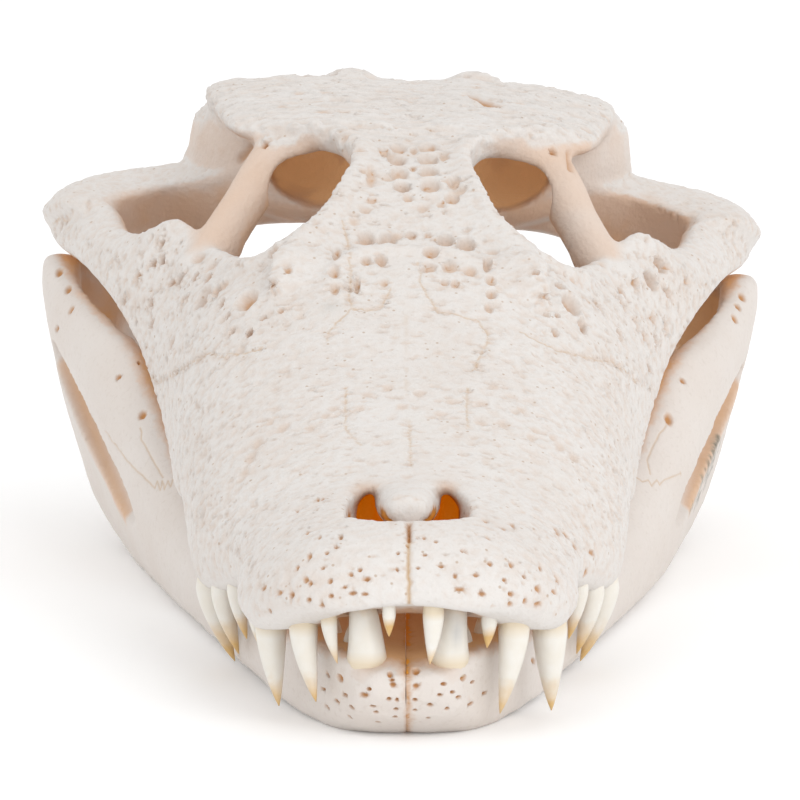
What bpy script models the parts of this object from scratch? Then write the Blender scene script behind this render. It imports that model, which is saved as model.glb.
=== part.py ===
"""Skull of an adult spectacled caiman, cranium resting on the two halves of its lower jaw.

Every measure below is in millimetres in the skull's own frame: x to the animal's left from the midline,
y back from the tip of the snout, z up from the surface that the lower jaw rests on. The meshes are
written in metres, with the middle of the whole skull over the origin and the snout pointing to -Y.
"""

import math

import bmesh
import bpy
import numpy as np
from mathutils import Matrix, Vector

# Overall sizes: one millimetre, the end of the lower jaw, the middle of the skull's width and length, the gap
# round a tooth's root and half the width of the suture in the chin
MM = 0.001
JAW_END = 242.6
MIDDLE = (-1.0, 121.6)
GAP = 0.3
SUTURE = 0.15

# The back of the head is turned a little on the snout, as in most grown animals: degrees, where it starts
# and ends, and the height that it turns about
TWIST = 1.7
TWIST_FROM_TO = (58, 112)
TWIST_Z = 45
# The corners of the jaw also sit a little to the animal's right of the midline of the snout
DRIFT = -1.1
DRIFT_FROM_TO = (120, 190)
DRIFT_BELOW_Z = (58, 66)

# Fineness of the bone surfaces, and how many triangles each keeps
VOXEL = 1.1
CRANIUM_SHARE = 0.03
RAMUS_SHARE = 0.0265

# Cranium, from front to back: height of the midline, half width, height of the tooth margin
SNOUT_TOP = [(0.5, 22.5), (2, 25), (4, 27.2), (7, 29.2), (11, 30.5), (16, 31), (24, 31.8), (30, 32.5),
             (36, 33.4), (42, 34.8), (50, 36.9), (60, 39.8), (72, 43.9), (80, 47), (95, 54), (104, 58.2),
             (110, 59.4)]
SNOUT_HALF = [(0.5, 8), (2, 13), (4, 16.2), (7, 19), (11, 21.6), (16, 23.6), (22, 24.8), (28, 24.9), (34, 25.3),
              (40, 27.2), (48, 30.4), (55, 32.4), (64, 33.4), (76, 34.4), (88, 35.3), (100, 36.4), (110, 37.4)]
MARGIN_Z = [(0.5, 19.4), (4, 18.3), (8, 16.6), (12, 14.6), (17, 14), (22, 14.4), (28, 16.4), (34, 18),
            (40, 16), (48, 14), (55, 13.3), (62, 14.6), (70, 17), (80, 19), (92, 19.8), (105, 20.4),
            (112, 23)]
SNOUT_STATIONS = [0.5, 2, 4, 7, 11, 16, 22, 28, 34, 40, 48, 55, 64, 76, 88, 98, 105, 110]
SNOUT_POWER = [(0.5, 2.3), (20, 2.1), (40, 2.15), (60, 2.35), (80, 2.3), (98, 2.4), (110, 2.6)]
PALATE_RISE = [(0.5, 1), (20, 3.5), (60, 6), (110, 4)]

# Frontal bone between the orbits: half width, height of its rims
FRONTAL_HALF = [(98, 23), (105, 22.5), (109, 21), (112, 19), (116, 15.6), (120, 12.9), (126, 11.7),
                (133, 10.4), (140, 10), (145, 11.5), (150, 16), (154, 22), (158, 27)]
FRONTAL_RIM = [(98, 54.5), (105, 59), (110, 60), (112, 61.5), (116, 63.7), (124, 67.4), (132, 70.6),
               (140, 73), (150, 74.8), (158, 75.2)]
FRONTAL_STATIONS = [98, 105, 109, 112, 116, 120, 126, 133, 140, 145, 150, 154, 158]

# Skull table: half width, height along the midline
TABLE_HALF = [(151, 17), (154, 26), (158, 30.2), (164, 31.6), (172, 32.6), (182, 34), (192, 35.6), (198, 35.8),
              (201, 33)]
TABLE_TOP = [(151, 75), (158, 75.8), (175, 77.2), (190, 78.2), (201, 78.8)]
TABLE_STATIONS = [151, 154, 158, 164, 172, 182, 192, 198, 201]
TABLE_THICK = [(151, 3.6), (160, 4.4), (172, 6.5), (201, 7)]
# How much lower its rim is on the animal's left
TABLE_SLANT = 1.7

# Block under the table: braincase and ear region, wide at the back
OTIC_HALF = [(164, 11), (170, 17), (178, 26.5), (186, 33.5), (193, 38), (200, 39.6)]
OTIC_STATIONS = [164, 170, 178, 186, 193, 200]
OTIC_LOW = 54.5
OTIC_HIGH = 76
OTIC_LEAN = 0.02
# How square its section is: a rounder one has a higher power
OTIC_POWER = 0.5
NECK_FLANGE = [(12, 198, 66, 5), (26, 201, 65, 5), (36, 203, 63, 4), (38.2, 203.5, 61, 2.4)]

# Jugal blade: upper edge and lower edge of its outer face as x and z, and its outward bulge
JUGAL_UP = [(96, 22, 49.4), (104, 21.5, 54), (110, 23.3, 56.2), (115, 25.8, 56.1), (125, 28.9, 55.2),
            (135, 32.6, 55.6), (142, 35.8, 57.2), (147, 39.2, 59), (152, 42.4, 56.6), (158, 44.8, 54.8),
            (165, 46.8, 54.3), (174, 49, 55.2), (183, 51.4, 57.6), (192, 55, 58.2), (199, 57.5, 57)]
JUGAL_LOW = [(96, 36.2, 20.6), (105, 37, 21.2), (112, 37.7, 23.4), (120, 38.9, 26.6), (128, 40.6, 30.2),
             (138, 43.1, 35.6), (145, 45.4, 39), (150, 47.6, 42), (156, 50.1, 44.8), (165, 53.1, 47.1),
             (178, 56.8, 48.9), (190, 60.3, 49.1), (199, 61.2, 48.9)]
JUGAL_BULGE = [(96, 5), (115, 4.5), (130, 3.2), (150, 2), (170, 1.6), (199, 1.6)]
JUGAL_STATIONS = [96, 104, 110, 115, 120, 125, 130, 135, 139, 143, 147, 150, 154, 159, 165, 172, 180, 188,
                  194, 199]
JUGAL_THICK = 4.2
# How much thicker it is near the jaw joint
JUGAL_THICKER = 1.8

# Quadrate wing: x, then y and z of its front edge, of its crest and of its rear edge, and its underside
QUADRATE = [(14, 173, 66, 190, 70, 200, 60, 54), (24, 177, 64.8, 193, 67.4, 204, 59, 53),
            (30, 181.5, 63.2, 196, 65.2, 208, 56.5, 51), (36, 187, 61, 198.5, 63.6, 212, 53, 49),
            (41, 189.5, 59.8, 199.5, 62.6, 215, 51, 47.6), (45, 188, 58.6, 200, 61.8, 216, 50.6, 47.2),
            (50, 183.5, 57.4, 200.5, 61, 215.5, 50.4, 47.2), (55, 181.5, 57.4, 199.5, 59.8, 212, 50, 47.8),
            (59, 184.5, 57.2, 198, 58.1, 206, 50.8, 49), (61.4, 189, 55, 197.5, 56, 203, 51.6, 50.4),
            (62.8, 194, 53.4, 198, 54, 201, 52.6, 52)]

# Jaw joint on each side: its place, the half lengths of the condyle, and how much wider its socket is
JAW_JOINT = (47.5, 210.5, 48.6)
CONDYLE = (9.6, 5.2, 4.4)
JOINT_ROOM = 0.9

# Palatine bar and pterygoid wings: y, half width, height of the middle, height of the edge, thickness
PALATINE = [(84, 9, 27.5, 27, 6), (100, 8.6, 27.5, 27, 6), (120, 7.4, 28.5, 28, 6), (140, 8, 30.5, 29.5, 6),
            (148, 11, 31.5, 29, 5.5), (156, 19, 33.5, 25.5, 5), (164, 26, 36, 20.5, 4.4),
            (172, 29, 39.5, 18, 4.2), (180, 27.5, 44, 19.5, 4.2), (187, 21, 49, 26, 5), (192, 10, 52, 44, 6)]

# Bars and struts: points along the middle, then the radius
POSTORBITAL_BAR = [(16.5, 158, 69.4, 3.6), (21.8, 156, 68.4, 4.3), (25.2, 151.6, 64.4, 4.1),
                   (28, 147, 60, 3.8), (31.2, 141, 55, 3.8), (35, 136.5, 49.5, 4.4)]
ECTOPTERYGOID = [(39.6, 139, 43, 4.2), (36, 145, 36.4, 3.8), (31.5, 155, 28, 3.8), (27.5, 165, 21.5, 3.8)]
ECTO_TO_MAXILLA = [(36, 145, 36.4, 3.4), (34.6, 132, 33.6, 2.9), (34.6, 118, 30, 3)]
PREFRONTAL_PILLAR = [(11, 109, 57, 3.4), (8.5, 109.5, 44, 2.4), (7, 109, 30, 3)]
SPECTACLE_RIDGE = [(-13.6, 90, 49.4, 0.8), (-13, 96, 52.4, 1.2), (-11.4, 102, 55.4, 1.7), (-7, 105.6, 57.7, 2),
                   (0, 106.6, 58.2, 1.8), (7, 105.6, 57.7, 2), (12, 102, 55.3, 1.7), (13.8, 96, 52.2, 1.2),
                   (14.2, 90, 49.3, 0.8)]
ORBIT_FRONT_RIM = [(13.6, 116.5, 61.6, 1.2), (16.5, 113.8, 60, 1.4), (20.6, 112, 57.6, 1.5),
                   (24.6, 113, 55.2, 1.6), (28.6, 119, 53.4, 1.8)]
ORBIT_ROOF = [(7.6, 142, 69.6, 2.6), (10.6, 148.5, 71.6, 2.4), (15.6, 152.4, 72.4, 2.4), (20.4, 155, 71.8, 2.8),
              (22.4, 155.6, 69.4, 3.6)]
BAR_FLARE = [(26, 150.4, 64.6, 3.2), (22.6, 153.6, 68.2, 3.2), (17.4, 153.4, 71, 2.2)]
BAR_FOOT = [(29.6, 142, 56, 3.6), (32.6, 141.6, 53.4, 3.8), (37, 145, 52.6, 3.2)]

# Hollows as bars: points along the middle, then the radius
NASAL_PASSAGE = [(0, 20, 27.4, 5.4), (0, 34, 27, 4.8), (0, 60, 29.5, 5), (0, 90, 38, 7), (0, 116, 45, 8)]
NOSTRIL = [(5.6, 18, 29.4, 3), (5.8, 24, 29.2, 2.9), (5.6, 30, 28.8, 2.8), (4, 40, 27.4, 3.6)]
LOWER_TOOTH_PIT = [(6.2, 8.3, 13, 3.7), (6.7, 8.8, 18.4, 2.9), (7.1, 9.5, 24, 1.7)]
TABLE_WINDOW = [(12.8, 171, 82, 2.5), (12.8, 171, 74, 2.5), (15, 170, 66, 3)]
SPINAL_CANAL = [(0, 207, 68.5, 4.4), (0, 196, 68.2, 4.2), (0, 184, 68, 3.4)]
# The tip of the nasals, which stays in the nostril opening
NASAL_TIP = [(1.1, 40, 29.4, 4), (1.1, 31, 29.9, 3.4), (1.1, 25, 30.6, 2.9), (1.1, 20, 31.3, 2.1)]

# Lower jaw: outer top edge, widest line and outer bottom edge of a ramus as x and z
RAMUS_TOP = [(3.2, 4.4, 10), (5, 6.6, 11), (9, 9.4, 12.2), (13, 11.4, 12.8), (17, 13.2, 13), (25, 16.2, 12.6),
             (35, 18.6, 12.4), (45, 21, 11.8), (55, 23.3, 11.4), (70, 25.9, 12.2), (85, 28.4, 13.4),
             (100, 31.2, 15.2), (110, 33.6, 17.6), (120, 36.8, 21.6), (128, 40, 25.6), (138, 44, 31.4),
             (145, 46.6, 35.4), (150, 49, 37.4), (158, 52.2, 39.2), (170, 55.2, 42), (180, 57, 44.4),
             (188, 58.8, 46.8), (194, 59.2, 46.8), (200, 57.6, 45.4), (206, 56, 45.2), (213, 54, 45.4),
             (219, 52, 44.4), (225, 50, 41.6), (232, 48, 39.8), (240, 46, 38.6), (242.6, 45, 37)]
RAMUS_MID = [(3.2, 4.8, 8.4), (5, 7.2, 8.4), (9, 9.8, 8), (13, 11.9, 8), (17, 13.8, 8), (25, 17.2, 8),
             (35, 20, 8), (45, 22.6, 8), (55, 25, 8), (70, 28.6, 8), (85, 32.2, 9), (100, 35.8, 10),
             (110, 38.6, 12), (120, 42, 16), (128, 45, 20), (138, 48.8, 24), (150, 52.4, 28), (158, 54.8, 30),
             (170, 58.2, 34), (180, 60.8, 38), (188, 62.2, 41.5), (194, 62.5, 42), (200, 61.4, 39.5),
             (206, 60, 36), (213, 57.5, 35), (221, 54.5, 35.5), (232, 50.8, 35), (240, 48, 35.4),
             (242.6, 46, 35.6)]
RAMUS_LOW = [(3.2, 3.4, 6.4), (5, 4.8, 3.4), (9, 6.4, 0.9), (13, 8.2, -0.3), (17, 10.4, -0.6), (25, 14.4, 0.2),
             (35, 18, 0.6), (45, 20.6, 0.8), (55, 23.2, 0.8), (70, 26.6, 0.8), (85, 29.8, 0.6), (100, 33, 0.4),
             (110, 35.2, 0.2), (120, 37.3, 0), (128, 38.8, -0.2), (138, 40.8, -0.5), (150, 43.2, -0.6),
             (158, 44.8, -0.3), (170, 48, 1.6), (180, 51, 4.6), (188, 53, 8.2), (194, 53.4, 11.4),
             (200, 52.4, 14.6), (206, 51, 17.4), (213, 49.4, 20.6), (221, 47.6, 24), (232, 45.4, 28.4),
             (240, 43.8, 32), (242.6, 43.6, 34)]
RAMUS_THICK = [(3.2, 6), (11, 8), (45, 9), (60, 9), (85, 9.4), (110, 9.6), (128, 9.4), (150, 9.4), (170, 10),
               (188, 12.5), (196, 17), (205, 20), (213, 20), (221, 15.5), (232, 12), (240, 9), (242.6, 5)]
RAMUS_STATIONS = [3.2, 5, 9, 13, 17, 25, 35, 45, 55, 70, 85, 100, 110, 120, 128, 138, 145, 150, 158, 170,
                  180, 188, 194, 200, 206, 213, 221, 232, 240, 242.6]
SYMPHYSIS_END = 38
# Its outer window and the muscle pit on its inner side
JAW_WINDOW = [(46, 126, 10.8, 1.6), (47.5, 134, 13.4, 4), (50, 148, 18, 5.4), (53.5, 162, 23.4, 5.6),
              (57, 174, 28.4, 4.6), (59.6, 183, 32, 1.8)]
JAW_FOSSA = [(42.8, 151, 33.4, 2.6), (45.2, 160, 33, 4.6), (47.8, 170, 34, 5.6), (49.8, 180, 36.6, 6.2),
             (50.6, 187, 40, 6), (51.6, 193, 46, 4.6)]
JAW_FOSSA_TALL = 9

# Upper teeth on the animal's left (+x): y, x of the socket, diameter, crown length, and how far the tip
# leans in x and in y
UPPER_LEFT = [
    (3.6, 3.6, 3.2, 7.2, -0.5, 0), (7.8, 11.6, 2.4, 3.8, -0.3, 0), (10.4, 15.2, 4.7, 12.3, -2, -0.6),
    (17.4, 20.5, 5.3, 12.2, 0.3, 0.5), (26, 22.3, 2.8, 6, -0.6, 0.5), (37, 23.2, 2.6, 5.2, -0.8, 0.5),
    (42.5, 25.4, 3.2, 7.6, -1.4, 0.5), (48.5, 27.6, 4, 9.6, -2.2, 0.5), (55.5, 29.6, 5, 11.4, -3.4, 0.5),
    (63, 30.6, 3.4, 6.6, -1.6, 0.4), (69.5, 31, 2.8, 5.4, -1, 0.3), (75.5, 31.4, 2.8, 5, -0.8, 0.3),
    (81.5, 31.8, 2.8, 5, -0.8, 0.3), (87.5, 32.2, 2.9, 5.2, -0.6, 0.3), (93.5, 32.8, 2.9, 5.2, -0.5, 0.2),
    (99, 33.6, 2.9, 4.6, -0.1, 0.2), (104.5, 34.2, 2.8, 4, 0, 0.2), (109.6, 35, 2.6, 3.2, 0, 0.1),
    (114.2, 35.9, 2.4, 2.6, 0, 0.1)]
# The animal's other side, where the first two differ: a tooth just breaking through, and a longer second
UPPER_RIGHT = [(3.4, 2.7, 2, 3.2, 0, 0), (7.8, 11.3, 2.5, 6.1, -1.2, 0), (10.4, 15, 4.3, 10.6, -1.8, -0.6),
              (17.4, 19.8, 4.7, 11.5, -1.1, 0.3)] + UPPER_LEFT[4:]
# Lower teeth: y, x, diameter, crown length, lean in x and y
LOWER = [(8, 5.9, 5.6, 10.6, 1.2, 1.4), (13.6, 8.2, 2.4, 3.2, 0, -0.2), (19.4, 10.6, 2.4, 3.4, 0, -0.2),
         (27.5, 13.6, 4.3, 5.8, 0.4, 0), (35, 15.4, 2.4, 4, 0.2, 0), (42, 17.2, 2.4, 3.8, 0.2, 0),
         (49, 18.8, 2.5, 3.8, 0.2, 0), (56.5, 20.4, 2.6, 4, 0.2, 0), (64, 22, 2.8, 4.2, 0.2, 0)]
SOCKET_DEPTH = 2.6


def rising(table):
    """Returns a function through the table's points that never overshoots between them."""
    rows = np.array(table, float)
    x, values = rows[:, 0], rows[:, 1:]
    step = np.diff(x)[:, None]
    slope = np.diff(values, axis=0) / step
    inner = np.where(slope[:-1] * slope[1:] > 0, 2 * slope[:-1] * slope[1:] / (slope[:-1] + slope[1:] + 1e-12), 0)
    tangent = np.vstack([slope[:1], inner, slope[-1:]])

    def at(y):
        y = min(max(y, x[0]), x[-1])
        i = min(int(np.searchsorted(x, y, side="right")) - 1, len(x) - 2)
        h = x[i + 1] - x[i]
        t = (y - x[i]) / h
        found = (values[i] * (2 * t**3 - 3 * t**2 + 1) + tangent[i] * h * (t**3 - 2 * t**2 + t)
                 + values[i + 1] * (3 * t**2 - 2 * t**3) + tangent[i + 1] * h * (t**3 - t**2))
        return found if len(found) > 1 else float(found[0])

    return at


def ease(value, low, high):
    """0 below low, 1 above high, and smooth between."""
    t = min(max((value - low) / (high - low), 0), 1)
    return t * t * (3 - 2 * t)


def place(point):
    """Skull millimetres to metres in the part's frame, with the slight natural twist of the back of the head."""
    x, y, z = point
    angle = math.radians(TWIST) * ease(y, *TWIST_FROM_TO) * ease(z, 4, 34)
    x, z = (x * math.cos(angle) + (z - TWIST_Z) * math.sin(angle),
            TWIST_Z + (z - TWIST_Z) * math.cos(angle) - x * math.sin(angle))
    x += DRIFT * ease(y, *DRIFT_FROM_TO) * (1 - ease(z, *DRIFT_BELOW_Z))
    return Vector(((x - MIDDLE[0]) * MM, (y - MIDDLE[1]) * MM, z * MM))


def loft(bm, rings, tip=None):
    """Adds a closed tube through the rings, with a fan at each end; the last fan meets at the tip, if given."""
    rows = [[bm.verts.new(place(p)) for p in ring] for ring in rings]
    count = len(rows[0])
    for low, high in zip(rows, rows[1:]):
        for i in range(count):
            j = (i + 1) % count
            bm.faces.new((low[i], low[j], high[j], high[i]))
    for row, end in ((rows[0], None), (rows[-1], tip)):
        middle = bm.verts.new(place(end) if end else sum((v.co for v in row), Vector()) / count)
        for i in range(count):
            bm.faces.new((row[i], row[(i + 1) % count], middle))


def smooth_ring(points, per_side=3):
    """A closed ring through the given points, rounded between them."""
    points = [np.array(p, float) for p in points]
    count = len(points)
    ring = []
    for i in range(count):
        a, b, c, d = (points[(i + k) % count] for k in (-1, 0, 1, 2))
        for s in range(per_side):
            t = s / per_side
            ring.append(0.5 * (2 * b + (c - a) * t + (2 * a - 5 * b + 4 * c - d) * t**2
                               + (3 * b - a - 3 * c + d) * t**3))
    return ring


def bar(bm, points, sides=12, fine=4):
    """A strut of changing radius along a smooth line through (x, y, z, radius) points."""
    rows = np.array(points, float)
    line = rising([(i,) + tuple(row) for i, row in enumerate(rows)])
    stops = [line(i / fine) for i in range((len(rows) - 1) * fine + 1)]
    rings = []
    for i, stop in enumerate(stops):
        ahead = np.array(stops[min(i + 1, len(stops) - 1)][:3]) - np.array(stops[max(i - 1, 0)][:3])
        turn = Vector(ahead).to_track_quat("Z", "Y")
        ring = []
        for k in range(sides):
            angle = 2 * math.pi * k / sides
            offset = turn @ Vector((math.cos(angle), math.sin(angle), 0)) * stop[3]
            ring.append(np.array(stop[:3]) + np.array(offset))
        rings.append(ring)
    loft(bm, rings)


def mirrored(path, side):
    """The path on that side of the midline: 1 is the animal's left, -1 its right."""
    return [(side * p[0],) + p[1:] for p in path]


def ball(bm, centre, radii, turn=0.0):
    """An ellipsoid with the given half lengths, turned about x by some degrees."""
    matrix = (Matrix.Translation(place(centre)) @ Matrix.Rotation(math.radians(turn), 4, "X")
              @ Matrix.Diagonal(Vector(radii) * MM).to_4x4())
    bmesh.ops.create_uvsphere(bm, u_segments=20, v_segments=12, radius=1, matrix=matrix)


def snout(bm):
    """Premaxillae, maxillae and nasals: a rounded roof over the palate, with a band for the tooth sockets."""
    top, half = rising(SNOUT_TOP), rising(SNOUT_HALF)
    margin, rise, squareness = rising(MARGIN_Z), rising(PALATE_RISE), rising(SNOUT_POWER)
    rings = []
    for y in SNOUT_STATIONS:
        w, high, low = half(y), top(y), margin(y)
        belly = low + 0.16 * (high - low)
        power = 2 / squareness(y)
        ring = []
        for k in range(-9, 10):
            angle = math.radians(k * 10)
            side = math.copysign(abs(math.sin(angle))**power, k)
            ring.append((side * w, y, belly + (high - belly) * abs(math.cos(angle))**power))
        band = min(7.5, 0.4 * w)
        ring += [(w - 0.6, y, low + 1.2), (w - 2, y, low), (w - band, y, low + 0.3),
                 (w - band - 0.15 * w, y, low + 0.7 * rise(y)), (0, y, low + rise(y)),
                 (-w + band + 0.15 * w, y, low + 0.7 * rise(y)), (-w + band, y, low + 0.3),
                 (-w + 2, y, low), (-w + 0.6, y, low + 1.2)]
        rings.append(ring)
    loft(bm, rings)


def frontal(bm):
    """The bridge between the orbits: hollowed along the middle, with raised rims."""
    half, rim = rising(FRONTAL_HALF), rising(FRONTAL_RIM)
    rings = []
    for y in FRONTAL_STATIONS:
        w, high = half(y), rim(y)
        rings.append([(0, y, high - 1.9), (0.55 * w, y, high - 1.5), (0.86 * w, y, high), (w, y, high - 0.9),
                      (0.93 * w, y, high - 3), (0.5 * w, y, high - 6), (0, y, high - 7.5),
                      (-0.5 * w, y, high - 6), (-0.93 * w, y, high - 3), (-w, y, high - 0.9),
                      (-0.86 * w, y, high), (-0.55 * w, y, high - 1.5)])
    loft(bm, rings)


def table(bm):
    """The flat roof over the braincase, with its sides overhanging."""
    half, top, thickness = rising(TABLE_HALF), rising(TABLE_TOP), rising(TABLE_THICK)
    rings = []
    for y in TABLE_STATIONS:
        w, high, thick = half(y), top(y), thickness(y)
        edge = [(0.3 * w, high), (0.62 * w, high - 0.3), (0.9 * w, high - 1.2), (w, high - 2.4),
                (0.985 * w, high - 1.2 - 0.6 * thick), (0.88 * w, high - 0.8 - thick)]
        rings.append([(0, y, high - 0.8)] + [(x, y, z - TABLE_SLANT * (x / w)**3) for x, z in edge]
                     + [(0, y, high - 1 - thick)]
                     + [(-x, y, z) for x, z in edge[::-1]])
    loft(bm, rings)
    for side in (-1, 1):
        ball(bm, (side * 10.8, 199, 77.6), (4.6, 3.6, 2.4))


def ear_block(bm):
    """Ear region and braincase under the table, with the knob that joined the neck."""
    half = rising(OTIC_HALF)
    middle, tall = (OTIC_LOW + OTIC_HIGH) / 2, (OTIC_HIGH - OTIC_LOW) / 2
    rings = []
    for y in OTIC_STATIONS:
        ring = []
        for k in range(24):
            angle = 2 * math.pi * k / 24
            c, s = math.cos(angle), math.sin(angle)
            up = math.copysign(abs(s)**OTIC_POWER, s)
            narrowing = 1 - OTIC_LEAN * (0.5 + 0.5 * up)
            ring.append((half(y) * narrowing * math.copysign(abs(c)**OTIC_POWER, c), y, middle + tall * up))
        rings.append(ring)
    loft(bm, rings)
    ball(bm, (0, 166, 66), (9, 20, 9.5), 8)
    ball(bm, (0, 191, 53), (11, 9, 11))
    ball(bm, (0, 203.5, 60), (5.4, 5.6, 4.8))
    for side in (-1, 1):
        bar(bm, mirrored(NECK_FLANGE, side))


def jugal(bm, side):
    """The cheek: a blade from the tooth row back to the jaw joint, under the orbit and the temporal window."""
    up, low, bulge = rising(JUGAL_UP), rising(JUGAL_LOW), rising(JUGAL_BULGE)
    rings = []
    for y in JUGAL_STATIONS:
        top, bottom = np.array(up(y)), np.array(low(y))
        along = bottom - top
        out = np.array((-along[1], along[0])) / np.linalg.norm(along)
        if out[0] < 0:
            out = -out
        thick = JUGAL_THICK + JUGAL_THICKER * ease(y, 168, 190)
        outer = [top + along * t + out * bulge(y) * math.sin(math.pi * t) for t in (0, 0.2, 0.4, 0.6, 0.8, 1)]
        inner = [p - out * thick * (0.75 + 0.35 * math.sin(math.pi * t))
                 for p, t in zip(outer[::-1], (1, 0.8, 0.6, 0.4, 0.2, 0))]
        ring = outer + inner
        if side < 0:
            ring = ring[::-1]
        rings.append([(side * p[0], y, p[1]) for p in ring])
    loft(bm, rings)


def quadrate(bm, side):
    """The wing from the ear region out to the corner of the cheek, and the joint surface for the lower jaw."""
    wing = rising(QUADRATE)
    first, last = QUADRATE[0][0], QUADRATE[-1][0]
    rings = []
    for step in range(29):
        x = first + (last - first) * step / 28
        y_front, z_front, y_crest, z_crest, y_rear, z_rear, z_under = wing(x)
        ring = [(y_front, z_front), ((y_front + y_crest) / 2, (z_front + z_crest) / 2 + 0.6),
                (y_crest, z_crest), (y_crest + 0.6 * (y_rear - y_crest), z_rear + 0.62 * (z_crest - z_rear)),
                (y_rear, z_rear), (y_rear - 3, z_under),
                ((y_front + y_rear) / 2 + 2, z_under), (y_front + 6.5, z_under + 1.2),
                (y_front + 3.2, z_front - 0.5 * (z_front - z_under))]
        rings.append([(side * x, y, z) for y, z in ring])
    loft(bm, rings)
    ball(bm, (side * JAW_JOINT[0],) + JAW_JOINT[1:], CONDYLE)


def palate_back(bm):
    """Palatine bar between the openings of the palate, spreading into the pterygoid wings."""
    rings = []
    shape = rising(PALATINE)
    for step in range(28):
        y = 84 + 4 * step
        w, middle, edge, thick = shape(y)
        drop = middle - edge
        top = [(t * w, y, middle + thick / 2 - drop * abs(t)**1.4) for t in (-1, -0.75, -0.5, -0.25, 0, 0.25,
                                                                             0.5, 0.75, 1)]
        under = [(p[0] * 0.98, y, p[2] - thick) for p in top[::-1]]
        rings.append(top + under)
    loft(bm, rings)
    for side in (-1, 1):
        for path in (ECTOPTERYGOID, ECTO_TO_MAXILLA, PREFRONTAL_PILLAR, ORBIT_FRONT_RIM, ORBIT_ROOF, BAR_FLARE,
                     BAR_FOOT):
            bar(bm, mirrored(path, side))
    ball(bm, (0, 184, 50), (9, 8, 8))


def cranium_forms(bm):
    snout(bm)
    frontal(bm)
    table(bm)
    ear_block(bm)
    palate_back(bm)
    bar(bm, SPECTACLE_RIDGE)
    for side in (-1, 1):
        jugal(bm, side)
        quadrate(bm, side)
        bar(bm, mirrored(POSTORBITAL_BAR, side))


def cranium_hollows(bm):
    """Everything that is cut out of the cranium."""
    ball(bm, (0, 19.8, 30.6), (8.2, 6.6, 6.2))
    bar(bm, NASAL_PASSAGE)
    bar(bm, SPINAL_CANAL)
    # Inner nostrils
    ball(bm, (0, 172, 34), (4.2, 4.6, 6))
    for side in (-1, 1):
        # Rim of the nostril, the space under the front of the orbit, and the temporal canal under the table
        ball(bm, (side * 6.4, 27.5, 34.2), (4.4, 9, 3.4), 8)
        ball(bm, (side * 20.5, 118, 33), (10.4, 22, 17.5), -4)
        ball(bm, (side * 17.5, 164, 64.5), (8.6, 24, 6.8), 6)
        for path in (NOSTRIL, LOWER_TOOTH_PIT, TABLE_WINDOW):
            bar(bm, mirrored(path, side))


def naris_hump(bm):
    """The blunt tip of the nasals that reaches into the nostril opening from behind."""
    for side in (-1, 1):
        bar(bm, mirrored(NASAL_TIP, side))


def ramus_forms(bm, side):
    """One half of the lower jaw."""
    top, mid, low, thick = rising(RAMUS_TOP), rising(RAMUS_MID), rising(RAMUS_LOW), rising(RAMUS_THICK)
    rings = []
    for y in RAMUS_STATIONS:
        (xt, zt), (xm, zm), (xl, zl), t = top(y), mid(y), low(y), thick(y)
        t_top = t if y > 185 else min(t, 7.6 - 2.6 * ease(y, 98, 116) * (1 - ease(y, 150, 166)))
        shelf = 0.8 + 3.4 * ease(y, 170, 184) * (1 - ease(y, 196, 206))
        waist = 1.4 - 2.2 * ease(y, 120, 165)
        if y < SYMPHYSIS_END:
            inner = [(-1.5, y, zl + 0.2), (-1.5, y, (zl + zt) / 2), (-1.5, y, zt - 1.2 + 2.2 * ease(y, 18, 35))]
        else:
            inner = [(xl - 0.62 * t, y, zl + 0.8), (xm - t, y, zm), (xt - t_top, y, zt - shelf)]
        ring = [(xt, y, zt), (xm, y, zm), ((xl + xm) / 2 + waist, y, zl + 0.3 * (zm - zl)), (xl, y, zl)]
        rings.append([(side * p[0], p[1], p[2]) for p in smooth_ring(ring + inner)])
    loft(bm, rings)


def ramus_hollows(bm, side):
    """The outer window of a ramus, the pit for the muscles on its inner side, and the socket of the jaw joint."""
    bar(bm, mirrored(JAW_WINDOW, side))
    ball(bm, (side * 45.4, 172, 33), (5, 23, 15), 14)
    for rise in (0, JAW_FOSSA_TALL):
        bar(bm, mirrored([(x, y, z + rise, r) for x, y, z, r in JAW_FOSSA], side))
    ball(bm, (side * JAW_JOINT[0],) + JAW_JOINT[1:], [r + JOINT_ROOM for r in CONDYLE])


def box(bm, low, high):
    size = (Vector(high) - Vector(low)) * MM
    middle = place([(a + b) / 2 for a, b in zip(low, high)])
    bmesh.ops.create_cube(bm, size=1, matrix=Matrix.Translation(middle) @ Matrix.Diagonal(size).to_4x4())


def tooth_ring(centre, radius, sides):
    angles = [2 * math.pi * (k + 0.5) / sides for k in range(sides)]
    return [(centre[0] + radius * math.cos(a), centre[1] + radius * math.sin(a), centre[2]) for a in angles]


def tooth_sides(length):
    return 6 if length > 6.5 else 5


def tooth(bm, side, base, up, diameter, length, lean):
    """A curved cone, with its root in the socket."""
    steps = ((0, 1), (0.36, 0.9), (0.7, 0.56)) if length > 6.5 else ((0, 1), (0.55, 0.72))
    rings = [tooth_ring((base[0], base[1], base[2] - up * SOCKET_DEPTH), 0.42 * diameter, tooth_sides(length))]
    for share, fat in steps:
        bend = share**1.6
        centre = (base[0] + lean[0] * bend, base[1] + lean[1] * bend, base[2] + up * share * length)
        rings.append(tooth_ring(centre, 0.5 * diameter * fat, tooth_sides(length)))
    tip = (side * (base[0] + lean[0]), base[1] + lean[1], base[2] + up * length)
    loft(bm, [[(side * p[0], p[1], p[2]) for p in ring] for ring in rings], tip)


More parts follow.
